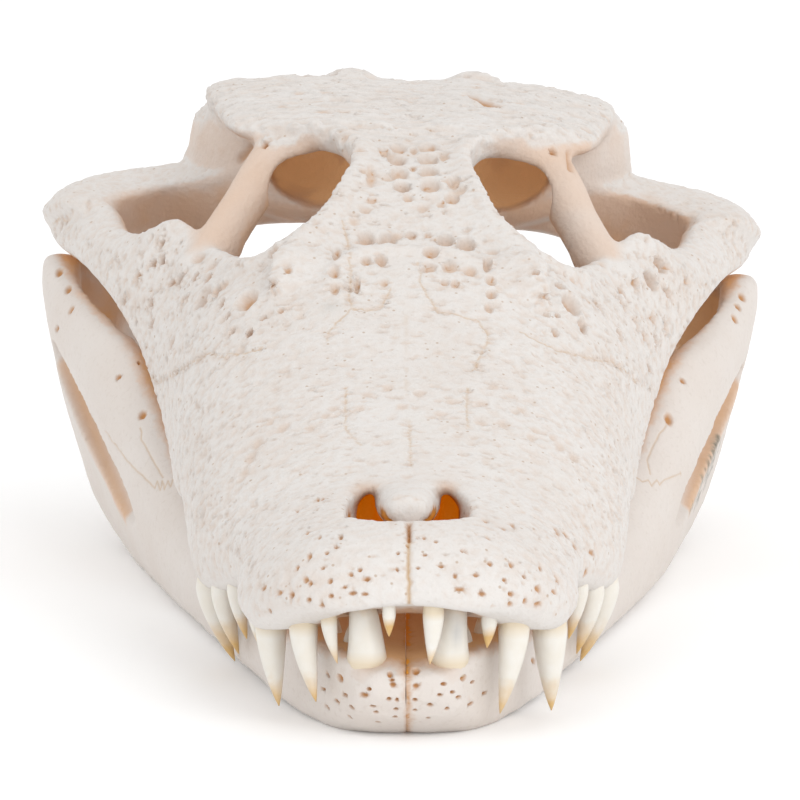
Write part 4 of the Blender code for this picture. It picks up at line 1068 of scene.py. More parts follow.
# Slits beside and on the skull table, as pixels, half width, depth and how amber they are
SLITS = [([(240, 159), (246, 153), (250, 147)], 0.7, 0.9, 0.55),
         ([(569, 154), (570, 162), (571, 170)], 0.6, 0.8, 0.55),
         ([(465, 95), (474, 97), (486, 101), (499, 107)], 0.7, 0.9, 0.9),
         ([(482, 101), (490, 104), (496, 107)], 0.8, 1.3, 1)]
# The outer upper teeth are stained well above their tips: rows from and to, and how far up
STAINED_ROWS = (7, 9)
STAINED_BY = 0.16
print("slits:", len(SLITS))

# %% [markdown]
# ## Seams
# Bones that have grown together keep a wandering line between them. Each line is a list of stops along it,
# so that a groove can be pressed and stained there with a little sway of its own.

# %% Seams between grown bones
ROOF_SEAMS = [[(409, 424), (410, 440), (411, 468)],
              [(151, 377), (159, 383), (172, 375), (196, 360), (210, 353), (221, 356), (262, 350)],
              [(520, 332), (555, 350), (580, 355), (600, 361), (612, 361), (625, 371), (640, 384),
               (655, 390)],
              [(342, 220), (348, 244), (351, 270), (349, 299), (353, 308), (367, 311), (381, 308),
               (390, 289)],
              [(353, 308), (331, 328), (326, 342)],
              [(418, 262), (421, 284), (438, 313), (447, 312), (476, 320), (487, 332), (488, 342),
               (480, 355), (474, 371)],
              [(345, 388), (346, 430), (362, 446)],
              [(467, 388), (467, 430)],
              [(48, 223), (58, 221), (70, 220)]]
FAINT_SEAM = [(408, 290), (405, 346), (406, 374), (409, 424)]
NOSTRIL_DRIPS = [[(386, 519), (392, 521), (393, 525)], [(430, 519), (424, 521), (423, 525)]]
FRONT_SEAM = [(409, 541), (408, 560), (409, 585), (409, 611)]
FRONT_CRACK = [(409, 522), (409, 530), (409, 541)]
CHIN_SEAM = [(407, 637), (408, 655), (407, 680), (408, 705), (407, 726)]
JAW_SEAMS = [[(105, 431), (129, 463), (143, 477), (155, 488)],
             [(155, 488), (157, 481), (160, 490), (162, 480), (165, 489), (167, 481), (171, 486),
              (173, 479)],
             [(140, 428), (142, 440), (154, 463), (163, 478)],
             [(650, 474), (647, 460), (656, 440), (667, 424)],
             [(637, 478), (642, 482), (648, 480), (652, 486), (656, 480), (660, 485), (664, 480),
              (682, 473)]]
print("seams:", len(ROOF_SEAMS) + len(JAW_SEAMS))

# %% [markdown]
# ## Finer where it matters
# A seam is a third of a millimetre wide, less than the spacing of the skin's points. Instead of a finer
# skin everywhere, only the faces near seams and nerve holes are subdivided.

# %% Refining near seams and holes
def refined(piece, pixels, radius=0.9, cuts=1):
    """Subdivides the skin round the places behind the pixels."""
    rays = BVHTree.FromObject(piece, bpy.context.evaluated_depsgraph_get())
    tree = tree_of([vert.co for vert in piece.data.vertices])
    chosen = set()
    for u, v in pixels:
        spot = rays.ray_cast(EYE, ray(u, v))[0]
        if spot is not None:
            chosen.update(i for _, i, _ in tree.find_range(spot, radius * MM))
    bm = bmesh.new()
    bm.from_mesh(piece.data)
    bm.verts.ensure_lookup_table()
    edges = {e for i in chosen for e in bm.verts[i].link_edges if e.other_vert(bm.verts[i]).index in chosen}
    bmesh.ops.subdivide_edges(bm, edges=list(edges), cuts=cuts, use_grid_fill=True)
    bm.to_mesh(piece.data)
    bm.free()


# How far round a pit, a first socket and the mould the skin is refined
PIT_RADIUS = 1.9
SOCKET_RADIUS = 4.5
MOULD_RADIUS = 1.4
roof_fine = [p for seam in ROOF_SEAMS + NOSTRIL_DRIPS + [FRONT_SEAM, FRONT_CRACK] for p in between(seam)]
roof_fine += [hole[:2] for hole in SNOUT_HOLES]
pit_fine = [pit[:2] for pit in FRONTAL_PITS + RIDGE_PITS + CHEEK_PITS + SNOUT_PITS]
jaw_fine = [p for seam in JAW_SEAMS + [CHIN_SEAM] for p in between(seam)]
jaw_fine += [hole[:2] for hole in JAW_HOLES + CHIN_HOLES]
refined(cranium, pit_fine, PIT_RADIUS)
refined(cranium, roof_fine, cuts=2)
for piece in rami:
    refined(piece, [spot[:2] for spot in FIRST_SOCKETS], SOCKET_RADIUS)
    refined(piece, jaw_fine, cuts=2)
    refined(piece, list(between(MOULD)), MOULD_RADIUS)
show_count(cranium)

# %% [markdown]
# ## How far inside a point is
# Where a point is closed in, less light reaches it, and that is painted into its colour as tan shade. Rays
# from each point of a coarse copy tell how much of the open air it sees.

# %% Inside or outside
# Spacing of the coarse copy, length and number of the rays, and how far off the skin they start
COARSE_MM = 2.0
REACH_MM = 45
RAYS = 20
START_MM = 1.2
# The least slope of a ray over the skin, and how many coarse points a mean is taken of
LEAST_FACING = 0.15
NEIGHBOURS = 4


def openness(piece, others):
    """A function from points in millimetres to how closed in they are, 0 to 1."""
    coarse = bpy.data.objects.new("coarse", piece.data.copy())
    bpy.context.scene.collection.objects.link(coarse)
    fused(coarse, COARSE_MM)
    graph = bpy.context.evaluated_depsgraph_get()
    walls = [BVHTree.FromObject(o, graph) for o in [coarse] + others]
    ways = []
    for k in range(RAYS):
        z = 1 - (k + 0.5) * 2 / RAYS
        turn = k * math.pi * (3 - math.sqrt(5))
        flat = math.sqrt(1 - z * z)
        ways.append(Vector((flat * math.cos(turn), flat * math.sin(turn), z)))
    tree = tree_of([vert.co / MM for vert in coarse.data.vertices])
    closed = []
    for vert in coarse.data.vertices:
        normal = vert.normal
        start = vert.co + normal * START_MM * MM
        hits = total = 0
        for way in ways:
            facing = way.dot(normal)
            if facing < LEAST_FACING:
                continue
            total += facing
            if any(wall.ray_cast(start, way, REACH_MM * MM)[0] is not None for wall in walls):
                hits += facing
        closed.append(hits / total if total else 0)
    bpy.data.objects.remove(coarse)

    def at(point):
        """The mean of the nearest coarse points, the nearer ones counting more."""
        near = tree.find_n(point, NEIGHBOURS)
        weight = [1 / (0.3 + far) for _, _, far in near]
        return sum(w * closed[i] for w, (_, i, _) in zip(weight, near)) / sum(weight)

    return at

# %% [markdown]
# ## A skin for each bone
# Every bone gets a Skin, with how closed in each of its points is, which is painted as shade. The other bones
# count as walls too, because the lower jaw shades the palate.

# %% Skins
skins = {}
for piece in [cranium] + rami:
    skin = Skin(piece)
    closed = openness(piece, [other for other in [cranium] + rami if other is not piece])
    # Painted shade: how closed in each point is, which the material turns into tan
    skin.tones["closed_shade"] = np.array([closed(point) for point in skin.points])
    skins[piece.name] = skin
    print(piece.name, len(skin.points), "points, of which inside", int((skin.tones["closed_shade"] > 0.5).sum()))

# %% [markdown]
# ## Rough and smooth bone
# The roof bones of a caiman are rough all over; the struts round the eyes, the ear region and the
# rear of the jaw are smooth. Random pits with a fixed seed, longer than wide on the cheeks, give the
# grain that a texture alone would only paint on.

# %% Rough bone
def soft(values, low, high, edge=2.5):
    """1 between low and high, 0 outside, with soft edges."""
    return np.clip((values - low) / edge + 0.5, 0, 1) * np.clip((high - values) / edge + 0.5, 0, 1)


def zone(skin, limits):
    """1 where every measure is within its limits, 0 outside; each has from, to and the edge's softness."""
    x, y, z = skin.skull()
    forward, up = -skin.normals[:, 1], skin.normals[:, 2]
    measures = {"across": np.abs(x), "along": y, "height": z, "front": forward, "up": up}
    within = 1
    for name, (low, high, edge) in limits.items():
        within = within * soft(measures[name], low, high, edge)
    return within


# Zones of the cranium in skull millimetres, with how far the skin faces up or to the front
ON_TOP = {"height": (71.5, 99, 1), "up": (0.3, 2, 0.2)}
STRUT = {"across": (13, 36.5, 5), "along": (134, 162, 5), "height": (52.5, 74, 4)}
EAR_WALL = {"along": (158, 300, 2.5), "height": (50, 73, 5), "across": (-1, 42, 5), "up": (-2, 0.5, 0.3)}
BELOW = {"up": (-2, -0.35, 0.2)}
# The face behind the temporal window, which looks forward
WINDOW_WALL = {"front": (0.35, 2, 0.2), "up": (-2, 0.5, 0.3), "along": (158, 300, 2.5),
               "height": (44, 61, 4), "across": (-1, 51, 3)}
# How tan the struts, the wall of the ear and the wall of the temporal window below it are painted, as shade
STRUT_SHADE = 0.44
EAR_SHADE = 0.34
WINDOW_SHADE = 0.54
roof = skins["cranium_bone"]
open_air = np.clip((0.5 - roof.tones["closed_shade"]) / 0.25, 0, 1)
strut = zone(roof, STRUT) * (1 - zone(roof, ON_TOP))
wall = zone(roof, EAR_WALL)
rough = open_air * (1 - np.maximum(strut, wall)) * (1 - zone(roof, BELOW))
roof.smooth = 1 - rough
# Painted shade: these zones are made tan like closed-in bone
for share, tan in ((strut, STRUT_SHADE), (wall, EAR_SHADE), (zone(roof, WINDOW_WALL), WINDOW_SHADE)):
    roof.mark("closed_shade", slice(None), tan * share)
print("rough share", round(float(rough.mean()), 2))

# %% [markdown]
# ## Random pits
# Thousands of small pits can't be placed one by one. A seeded draw spreads them over four regions, each
# with its own size and direction: broad and flat on the snout and the table, deep and long on the cheeks.

# %% Random pits
def speckle(skin, mask, within, count, sizes, depth, longer, seed, tone):
    """Carves that many small pits at random places of the masked skin, with painted shade in them."""
    draw = np.random.default_rng(seed)
    pool = np.nonzero(mask > 0.5)[0]
    pool = pool[within(*skin.skull(pool), skin.normals[pool])]
    for i in draw.choice(pool, min(count, len(pool)), replace=False):
        wide = draw.uniform(*sizes)
        skin.pit_at(skin.points[i], skin.normals[i], wide, wide * draw.uniform(*longer),
                    depth * wide * draw.uniform(0.6, 1.3), "hollow", tone, turned=draw.normal(0, 0.3))


def on_snout(x, y, z, n):
    """The roof of the snout."""
    return (y > 12) & (y < 112) & (n[:, 2] > 0.25)


def on_side(x, y, z, n):
    """The cheeks and the sides of the snout."""
    return (y < 205) & (n[:, 2] <= 0.6) & (np.abs(x) > 20) & (z > 22)


def on_table(x, y, z, n):
    """The skull table and the bridge between the eyes."""
    return (y > 108) & (n[:, 2] > 0.4) & (np.abs(x) < 36)


def on_muzzle(x, y, z, n):
    """The front of the snout, over the teeth."""
    return (y < 62) & (z < 31) & (n[:, 2] > -0.3)


# Where, how many, widths, depth and lengths as shares of the width, seed, and tone: how strongly each pit is
# painted with shade
SPECKLES = [(on_snout, 900, (1, 2.2), 0.15, (0.45, 0.7), 11, 0.5),
            (on_side, 2000, (0.5, 0.95), 0.36, (1, 2.4), 12, 0.55),
            (on_table, 420, (0.8, 2), 0.3, (0.35, 0.7), 13, 0.6),
            (on_table, 70, (1.8, 3), 0.22, (0.6, 1.2), 15, 0.8),
            (on_muzzle, 260, (0.4, 0.7), 0.4, (0.8, 1.3), 14, 0.6)]
for speckles in SPECKLES:
    speckle(roof, rough, *speckles)
print(sum(row[1] for row in SPECKLES), "random pits")

# %% [markdown]
# ## Winding ridges
# Between the pits the bone is wrinkled. The fold of a smooth noise, its value without the sign, has sharp
# valleys and round backs, like the real relief, and the valleys are painted darker, as shade. On the table
# the wrinkles run across.

# %% Winding ridges
# Offset of the noise, size and height in millimetres
RIDGES = [(0, 5.2, 0.12), (40, 1.9, 0.3), (80, 0.9, 0.16)]
# How much painted shade the valleys of the wrinkles get
VALLEY_SHADE = 0.45
# Ridges larger than this get no painted shade in their valleys
SHADED_SIZE = 5
# The bridge and the table: from y, half width and from z; the table alone starts further back
BRIDGE_Y = 120
TABLE_Y = 145
BACK_HALF = 38
BACK_Z = 66
# How much the wrinkles are stretched across the table, and how strong they are there
STRETCH = 0.35
TABLE_VIGOUR = 1.5
x, y, z = roof.skull()
high_middle = (np.abs(x) < BACK_HALF) & (z > BACK_Z)
stretch = np.where((y > BRIDGE_Y) & high_middle, STRETCH, 1.0)
back = (y > TABLE_Y) & high_middle
# The middle of the snout has few ridges
snout_vigour = np.where(y > 106, 0.7, 0.4 + 0.4 * np.clip(np.abs(x) / 28, 0, 1))
vigour = rough * np.where(back, TABLE_VIGOUR, snout_vigour)
for offset, size, height in RIDGES:
    spots = roof.points / size
    spots[:, 0] *= stretch
    lumps = wrinkles(spots + offset)
    roof.lift += height * (0.6 - 2 * np.abs(lumps)) * vigour + 0.03 * lumps
    # Painted shade in the valleys of the wrinkles
    valley_shade = VALLEY_SHADE * np.where(back, 0.7, vigour) * np.clip(np.abs(lumps) * 2.5 - 0.5, 0, 1)
    if size < SHADED_SIZE:
        roof.mark("hollow", slice(None), valley_shade)
print("ridges lift the roof by up to", round(float(roof.lift.max()), 2), "mm")

# %% [markdown]
# ## Named pits, holes and seams
# Now everything that has a place of its own is pressed in, over the random grain. Two amber dots lie near
# each large pit, where a vessel came through.

# %% Named pits, holes and seams of the cranium
AMBER_DOTS = [(196, 277), (208, 279), (172, 283), (205, 303), (250, 334), (622, 293), (649, 369),
              (553, 152), (265, 145)]
# Widths and depths: of a seam, of a faint one, of the seam and the crack in front, and of the drips
SEAM_WIDE = 0.17
SEAM_DEEP = 0.1
FAINT_DEEP = 0.05
FRONT_SEAM_SIZE = (0.3, 0.35)
FRONT_CRACK_SIZE = (0.34, 1)
DRIP_SIZE = (0.24, 0.3)
# How much larger and deeper the listed pits are pressed than they look
ROOF_WIDER = 1.15
ROOF_DEEPER = 0.9
CHEEK_WIDER = 1.1
CHEEK_DEEPER = 1.3
SNOUT_DEEPER = 0.5
# The dots near a pit: size and depth, how far they lie off as a share of its size, and how amber they are
DOT_SIZE = 0.35
DOT_DEEP = 0.25
DOT_OFF = (2.2, 1.6)
DOT_AMBER = (0.4, 0.9)
# The amber floor of a cheek pit, as a share of its size, and how deep it is
FLOOR_SHARE = 0.7
FLOOR_DEEP = 0.2
# The single amber dots, and the nerve holes of the snout
AMBER_SIZE = 1.2
AMBER_DEEP = 1.1
HOLE_DEEP = 0.45
draw = random.Random(5)
# The listed pits are pressed in and painted with shade in the hollow tone
for u, v, wide, tall, deep in FRONTAL_PITS + RIDGE_PITS:
    roof.pit(u, v, wide * ROOF_WIDER, tall * ROOF_WIDER, ROOF_DEEPER * deep, steep=1.8, lip=0.16)
    for _ in range(2):
        dot_u = u + draw.uniform(-1, 1) * (DOT_OFF[0] * wide)
        dot_v = v - 1 + draw.uniform(-1, 1) * (DOT_OFF[1] * tall)
        amber = draw.uniform(*DOT_AMBER)
        roof.pit(dot_u, dot_v, DOT_SIZE, DOT_SIZE, DOT_DEEP, "amber", amber, steep=1.2, lip=0)
for u, v, wide, tall, deep in CHEEK_PITS:
    roof.pit(u, v, wide * CHEEK_WIDER, tall * CHEEK_WIDER, CHEEK_DEEPER * deep, steep=1.6, lip=0.15)
    roof.pit(u, v, FLOOR_SHARE * wide, FLOOR_SHARE * tall, FLOOR_DEEP, "amber", strength=0.55, lip=0)
for u, v, wide, tall, deep in SNOUT_PITS:
    roof.pit(u, v, wide, tall, SNOUT_DEEPER * deep, strength=0.6)
for u, v in AMBER_DOTS:
    roof.pit(u, v, AMBER_SIZE, AMBER_SIZE, AMBER_DEEP, "amber", strength=0.9, steep=2)
for u, v, wide, tall in SNOUT_HOLES:
    roof.pit(u, v, wide, tall, HOLE_DEEP, "amber", strength=0.8, steep=1.2, lip=0.05)
for number, seam in enumerate(ROOF_SEAMS):
    roof.groove(seam, SEAM_WIDE, SEAM_DEEP, strength=0.65, wander=1.2, seed=number)
roof.groove(FAINT_SEAM, SEAM_WIDE, FAINT_DEEP, strength=0.3, wander=1)
roof.groove(FRONT_SEAM, *FRONT_SEAM_SIZE, strength=1, wander=0.7)
roof.groove(FRONT_CRACK, *FRONT_CRACK_SIZE, "amber", wander=0.3)
for drip in NOSTRIL_DRIPS:
    roof.groove(drip, *DRIP_SIZE, "amber")
roof.stain_or_shade(*GREEN_STAIN, radius=1.6, strength=0.16)
# Painted shade round the nostrils, in amber
for u, v in NOSTRIL_SHADE:
    roof.stain_or_shade(u, v, radius=1.8, strength=0.45, tone="amber")
for stops, wide, deep, amber in SLITS:
    roof.groove(stops, wide, deep, "amber", amber)
print("points of the cranium that a mark makes finer:", int(roof.fine.sum()))

# %% [markdown]
# ## The same on the jaw
# Holes and seams are pressed in with the same tools. The suture of the chin is a beaded amber line, and the
# inner side is painted tan all over as shade, more so where the windows open on it.

# %% Pits, seams, stains and painted shade of the jaw
# How strongly the closed-in points of the jaw are painted as shade
JAW_SHADE = 1.25
JAW_RIDGES = [(0, 6, 0.14), (40, 1.6, 0.07)]
# The amber line in the suture of the chin: its half width, the size of its beads and how far they sway
SUTURE_WIDE = 0.36
BEAD_MM = 0.8
BEAD_SWAY = 0.3
# The nerve holes at the rear of the jaw look smaller than they are listed, so they are pressed larger
REAR_LARGER = 1.5
JAW_HOLE_DEEP = 0.55
# Spots of mould: how far they stray, their radius and strength
MOULD_STRAY = 2.5
MOULD_SIZE = (0.3, 0.6)
MOULD_DARK = (0.7, 1)
for jaw in (skins["jaw_bone_left"], skins["jaw_bone_right"]):
    for u, v, wide, tall in CHIN_HOLES + JAW_HOLES:
        larger = REAR_LARGER if (u, v, wide, tall) in JAW_HOLES else 1
        jaw.pit(u, v, larger * wide, larger * tall, JAW_HOLE_DEEP, "amber", strength=0.9, steep=1.2, lip=0.05)
    for number, seam in enumerate(JAW_SEAMS):
        jaw.groove(seam, SEAM_WIDE, SEAM_DEEP, strength=0.7, wander=0.7, seed=number)
    beads = wrinkles(jaw.points * (0, 0, 1) / BEAD_MM)
    seam_x = (jaw.points[:, 0] + MIDDLE[0] + BEAD_SWAY * beads) / SUTURE_WIDE
    jaw.mark("amber", slice(None), np.exp(-seam_x**2) * (0.75 + beads))
    # Painted shade: closed-in points of the jaw are made tan
    jaw.tones["closed_shade"] = JAW_SHADE * jaw.tones["closed_shade"]**1.4
    # Painted shade on the floor seen through each window
    for path in JAW_WINDOW_SHADE:
        for u, v in between(path, 2):
            jaw.stain_or_shade(u, v, radius=2.2, strength=0.68, tone="closed_shade")
    for u, v, wide, tall, deep in FIRST_SOCKETS:
        jaw.pit(u, v, wide, tall, deep, "amber", 0.25 if deep > 0 else 0, lip=0)
    for u, v in between(MOULD, 1.6):
        stray = draw.uniform(-MOULD_STRAY, MOULD_STRAY)
        jaw.stain_or_shade(u + stray, v, draw.uniform(*MOULD_SIZE), draw.uniform(*MOULD_DARK))
    for offset, size, height in JAW_RIDGES:
        jaw.lift += height * wrinkles(jaw.points / size + offset)
    print(jaw.piece.name, "lowered by up to", round(float(-jaw.lift.min()), 2), "mm")

# %% [markdown]
# ## Ragged rims
# The rims of the eye openings and the front of the table end in small spikes and notches, because the bone
# there was covered by thick skin. Random bumps along each rim do it; a texture would leave the outline flat.

# %% Ragged rims
RIMS = [[(355, 144), (350, 163), (334, 186), (329, 199), (314, 214), (308, 225), (295, 229), (280, 244),
         (262, 257)],
        [(468, 144), (474, 165), (502, 205), (529, 240), (547, 253), (563, 265)],
        [(223, 122), (236, 124), (253, 128), (274, 131), (292, 125), (334, 122), (351, 131)],
        [(477, 131), (511, 132), (524, 127), (562, 136), (590, 131)]]
# Pixels between two spikes, their width in millimetres, and how far they go in and out
SPIKE_STEP = 4.5
SPIKE_SIZE = 0.8
SPIKE_RANGE = (-0.75, 0.6)
for number, rim in enumerate(RIMS):
    draw = random.Random(number)
    for u, v in between(rim, SPIKE_STEP):
        hit = roof.seen(u + draw.uniform(-2, 2), v + draw.uniform(-1, 3))
        if hit is None:
            continue
        near = roof.around(hit[0], 2.4 * SPIKE_SIZE)
        near = near[rough[near] > 0.2]
        away = np.linalg.norm(roof.points[near] - hit[0], axis=1) / SPIKE_SIZE
        roof.lift[near] += draw.uniform(*SPIKE_RANGE) * np.exp(-away**2)
print(len(RIMS), "ragged rims")

# %% [markdown]
# ## The nasal passage
# The light that comes through the thin walls behind the nostrils in deep orange is painted: the points of the
# passage, found by where they lie and how closed in they are, are coloured full amber, which the material
# also makes glow. Then all that was carved is written to the meshes.

# %% The nasal passage
# Its half width, y and z from and to, and how closed in its points are at least
PASSAGE_HALF = 10
PASSAGE_Y = (13, 60)
PASSAGE_Z = (20, 31.6)
PASSAGE_INSIDE = 0.42
x, y, z = roof.skull()
passage = (np.abs(x) < PASSAGE_HALF) & (y > PASSAGE_Y[0]) & (y < PASSAGE_Y[1]) & (z < PASSAGE_Z[1])
passage = passage & (z > PASSAGE_Z[0]) & (roof.tones["closed_shade"] > PASSAGE_INSIDE)
# Painted light: full amber, and with it a painted glow, for light through the thin walls
roof.tones["amber"][passage] = 1
for skin in skins.values():
    skin.write()
print("points in the nasal passage:", int(passage.sum()))

# %% [markdown]
# ## Thinning the skin
# A bone may have 200,000 triangles at most. Collapse decimation spends the triangles where the
# surface bends, which is where the carving is. Hidden surfaces are thinned first.

# %% Thinning
# Edges that turn more than this stay crisp, in degrees
SHARP_FROM = 62
# How soon a point may go: any point, one of rough bone, one of it that faces the camera, one of a mark
ANY_POINT = 1.0
ROUGH_POINT = 0.5
SEEN_POINT = 0.25
MARKED_POINT = 0.12


def paint(piece, name, values):
    """Stores a number for every point, which a material reads by that name."""
    layer = piece.data.attributes.new(name, "FLOAT", "POINT")
    layer.data.foreach_set("value", np.asarray(values, np.float32))


def thinned(skin, count):
    """Decimates the skin's piece to a number of triangles and carries its tones over."""
    piece = skin.piece
    piece.data.calc_loop_triangles()
    total = len(piece.data.loop_triangles)
    hidden = piece.vertex_groups.new(name="hidden")
    facing = skin.normals @ np.array(-LOOK)
    rough_bone = skin.smooth < 0.5
    for weight, chosen in ((ANY_POINT, skin.smooth > -1), (ROUGH_POINT, rough_bone),
                           (SEEN_POINT, rough_bone & (facing > -0.1)), (MARKED_POINT, skin.fine)):
        hidden.add(np.nonzero(chosen)[0].tolist(), weight, "REPLACE")
    modify(piece, "DECIMATE", ratio=min(1, count / total), vertex_group="hidden", vertex_group_factor=1e-6)
    settled(piece)
    tree = tree_of(skin.moved())
    nearest = [tree.find(vert.co / MM)[1] for vert in piece.data.vertices]
    tone = piece.data.attributes.new("tone", "FLOAT_COLOR", "POINT")
    values = np.column_stack([skin.tones[name][nearest] for name in TONES[:4]])
    tone.data.foreach_set("color", values.astype(np.float32).ravel())
    paint(piece, "dirt", skin.tones["dirt"][nearest])
    paint(piece, "pitted", 1 - skin.smooth[nearest])
    piece.vertex_groups.clear()
    piece.data.shade_smooth()
    piece.data.set_sharp_from_angle(angle=math.radians(SHARP_FROM))
    show_count(piece)

# %% [markdown]
# ## Teeth
# A crocodilian tooth is a hollow, slightly curved cone with two faint keels. Each of these is a skin over
# round ribs that shrink towards a blunt tip. The tips are worn and stained amber, which the material
# reads from how far along the tooth a point is.

# %% Rows of teeth
# Upper teeth on the animal's left (+x): y, x of the socket, diameter, crown length, and how far the tip
# leans in x and in y
UPPER_LEFT = [
    (3.6, 3.6, 3.2, 7.2, -0.5, 0), (7.8, 11.6, 2.4, 3.8, -0.3, 0), (10.4, 15.2, 4.7, 12.3, -2, -0.6),
    (17.4, 20.5, 5.3, 12.2, 0.3, 0.5), (26, 22.3, 2.8, 6, -0.6, 0.5), (37, 23.2, 2.6, 5.2, -0.8, 0.5),
    (42.5, 25.4, 3.2, 7.6, -1.4, 0.5), (48.5, 27.6, 4, 9.6, -2.2, 0.5), (55.5, 29.6, 5, 11.4, -3.4, 0.5),
    (63, 30.6, 3.4, 6.6, -1.6, 0.4), (69.5, 31, 2.8, 5.4, -1, 0.3), (75.5, 31.4, 2.8, 5, -0.8, 0.3),
    (81.5, 31.8, 2.8, 5, -0.8, 0.3), (87.5, 32.2, 2.9, 5.2, -0.6, 0.3), (93.5, 32.8, 2.9, 5.2, -0.5, 0.2),
    (99, 33.6, 2.9, 4.6, -0.1, 0.2), (104.5, 34.2, 2.8, 4, 0, 0.2), (109.6, 35, 2.6, 3.2, 0, 0.1),
    (114.2, 35.9, 2.4, 2.6, 0, 0.1)]
# The animal's other side, where the first two differ: a tooth just breaking through, and a longer second
UPPER_RIGHT = [(3.4, 2.7, 2, 3.2, 0, 0), (7.8, 11.3, 2.5, 6.1, -1.2, 0), (10.4, 15, 4.3, 10.6, -1.8, -0.6),
              (17.4, 19.8, 4.7, 11.5, -1.1, 0.3)] + UPPER_LEFT[4:]
# Lower teeth: y, x, diameter, crown length, lean in x and y
LOWER = [(8, 5.9, 6, 10.6, 1.1, 1.4), (13.6, 8.2, 2.4, 3.2, 0, -0.2), (19.4, 10.6, 2.4, 3.4, 0, -0.2),
         (27.5, 13.6, 4.3, 5.8, 0.4, 0), (35, 15.4, 2.4, 4, 0.2, 0), (42, 17.2, 2.4, 3.8, 0.2, 0),
         (49, 18.8, 2.5, 3.8, 0.2, 0), (56.5, 20.4, 2.6, 4, 0.2, 0), (64, 22, 2.8, 4.2, 0.2, 0)]
# The hindmost lower teeth: y, x, diameter, crown length
LOWER_HIND = [(71.5, 23.6, 2.8, 3.8), (78.5, 25, 2.8, 3.6), (85, 26.2, 2.8, 3.6), (91, 27.4, 2.7, 3.4),
              (96.5, 28.8, 2.6, 3.2), (102, 30.2, 2.6, 3), (107, 31.6, 2.5, 2.6), (111.5, 33, 2.4, 2.2),
              (115.5, 34.3, 2.2, 1.8)]
print("rows of teeth:", [len(row) for row in (UPPER_LEFT, UPPER_RIGHT, LOWER, LOWER_HIND)])

# %% [markdown]
# ## The shape of one tooth
# The ribs start in the socket, bend with the tooth and shrink on a curve. The first lower teeth are blunt,
# as they are in old animals, so they shrink on a curve of their own.

# %% Tooth shapes
# How far the root goes into the socket, points round a rib, and ribs
SOCKET_DEPTH = 2.6
ROUND = 20
RIBS = 16
# Two keels along the tooth, where the sine of the angle is over a limit, and shallow flutes round it
KEEL = 0.05
KEEL_FROM = 0.93
KEEL_WIDE = 0.07
FLUTE = 0.012
FLUTES = 7
# Girth of the root at its end as a share, and what it gains up to the crown
ROOT_GIRTH = 0.86
ROOT_GAIN = 0.14
# The curves on which a pointed and a blunt crown shrink, as powers and a share
POINTED = (1.35, 0.78)
BLUNT = (0.42, 0.8, 6, 0.5)
# How flat it is from side to side, how late it bends, and the least radius of its tip as a share
FLATNESS = 0.97
BEND_POWER = 1.6
LEAST_TIP = 0.03


def tooth_body(bm, side, base, up, diameter, length, lean, blunt=False):
    """A curved cone, with its root in the socket and two faint keels."""
    rings = []
    for step in range(RIBS + 1):
        share = min(-SOCKET_DEPTH / length + (1 + SOCKET_DEPTH / length) * (step / RIBS), 1)
        if share < 0:
            fat = ROOT_GIRTH + ROOT_GAIN * (1 + share * length / SOCKET_DEPTH)
        elif blunt:
            fat = (1 - BLUNT[0] * share**BLUNT[1]) * (1 - share**BLUNT[2])**BLUNT[3]
        else:
            fat = (1 - share**POINTED[0])**POINTED[1]
        bend = max(share, 0)**BEND_POWER
        centre = (base[0] + lean[0] * bend, base[1] + lean[1] * bend, base[2] + up * share * length)
        radius = 0.5 * diameter * max(fat, LEAST_TIP)
        ring = []
        for k in range(ROUND):
            angle = 2 * math.pi * k / ROUND
            keel = 1 + KEEL * max(0, abs(math.sin(angle)) - KEEL_FROM) / KEEL_WIDE * max(share, 0)
            flute = 1 + FLUTE * math.cos(FLUTES * angle)
            ring.append((side * (centre[0] + radius * math.cos(angle) * FLATNESS),
                         centre[1] + radius * math.sin(angle) * keel * flute, centre[2]))
        rings.append(ring)
    loft(bm, rings)


# %% [markdown]
# ## Every tooth
# Each tooth is a piece of its own, loose in its socket as in a cleaned skull. Only the nine hindmost ones a
# side share a mesh, because the closed mouth hides them. Every point of a tooth stores how far along it is.

# %% Every tooth
# Small teeth in front are as amber as the tips of the large ones
SMALL_CROWN = 4.5
FRONT_Y = 12
SMALL_STAIN = 0.45
# How far the first rib of the crown stands from the jaw's edge, for an upper and a lower tooth
UPPER_OFF = 0.1
LOWER_OFF = -0.3
# The grey stain on one of the first lower teeth: its middle and half lengths in skull millimetres
GREY_TOOTH = "lower_tooth_left_01"
GREY_SPOT = (6.9, 5.2, 15.4)
GREY_SIZE = (0.9, 9, 2)
GREY_AMOUNT = 0.45


def upper_base(y, x):
    """Where the crown of an upper tooth begins."""
    return (x, y, rising(MARGIN_Z + [(120, 26.6)])(y) + UPPER_OFF)


def lower_base(y, x):
    """Where the crown of a lower tooth begins."""
    return (x, y, rising(RAMUS_TOP)(y)[1] + LOWER_OFF)


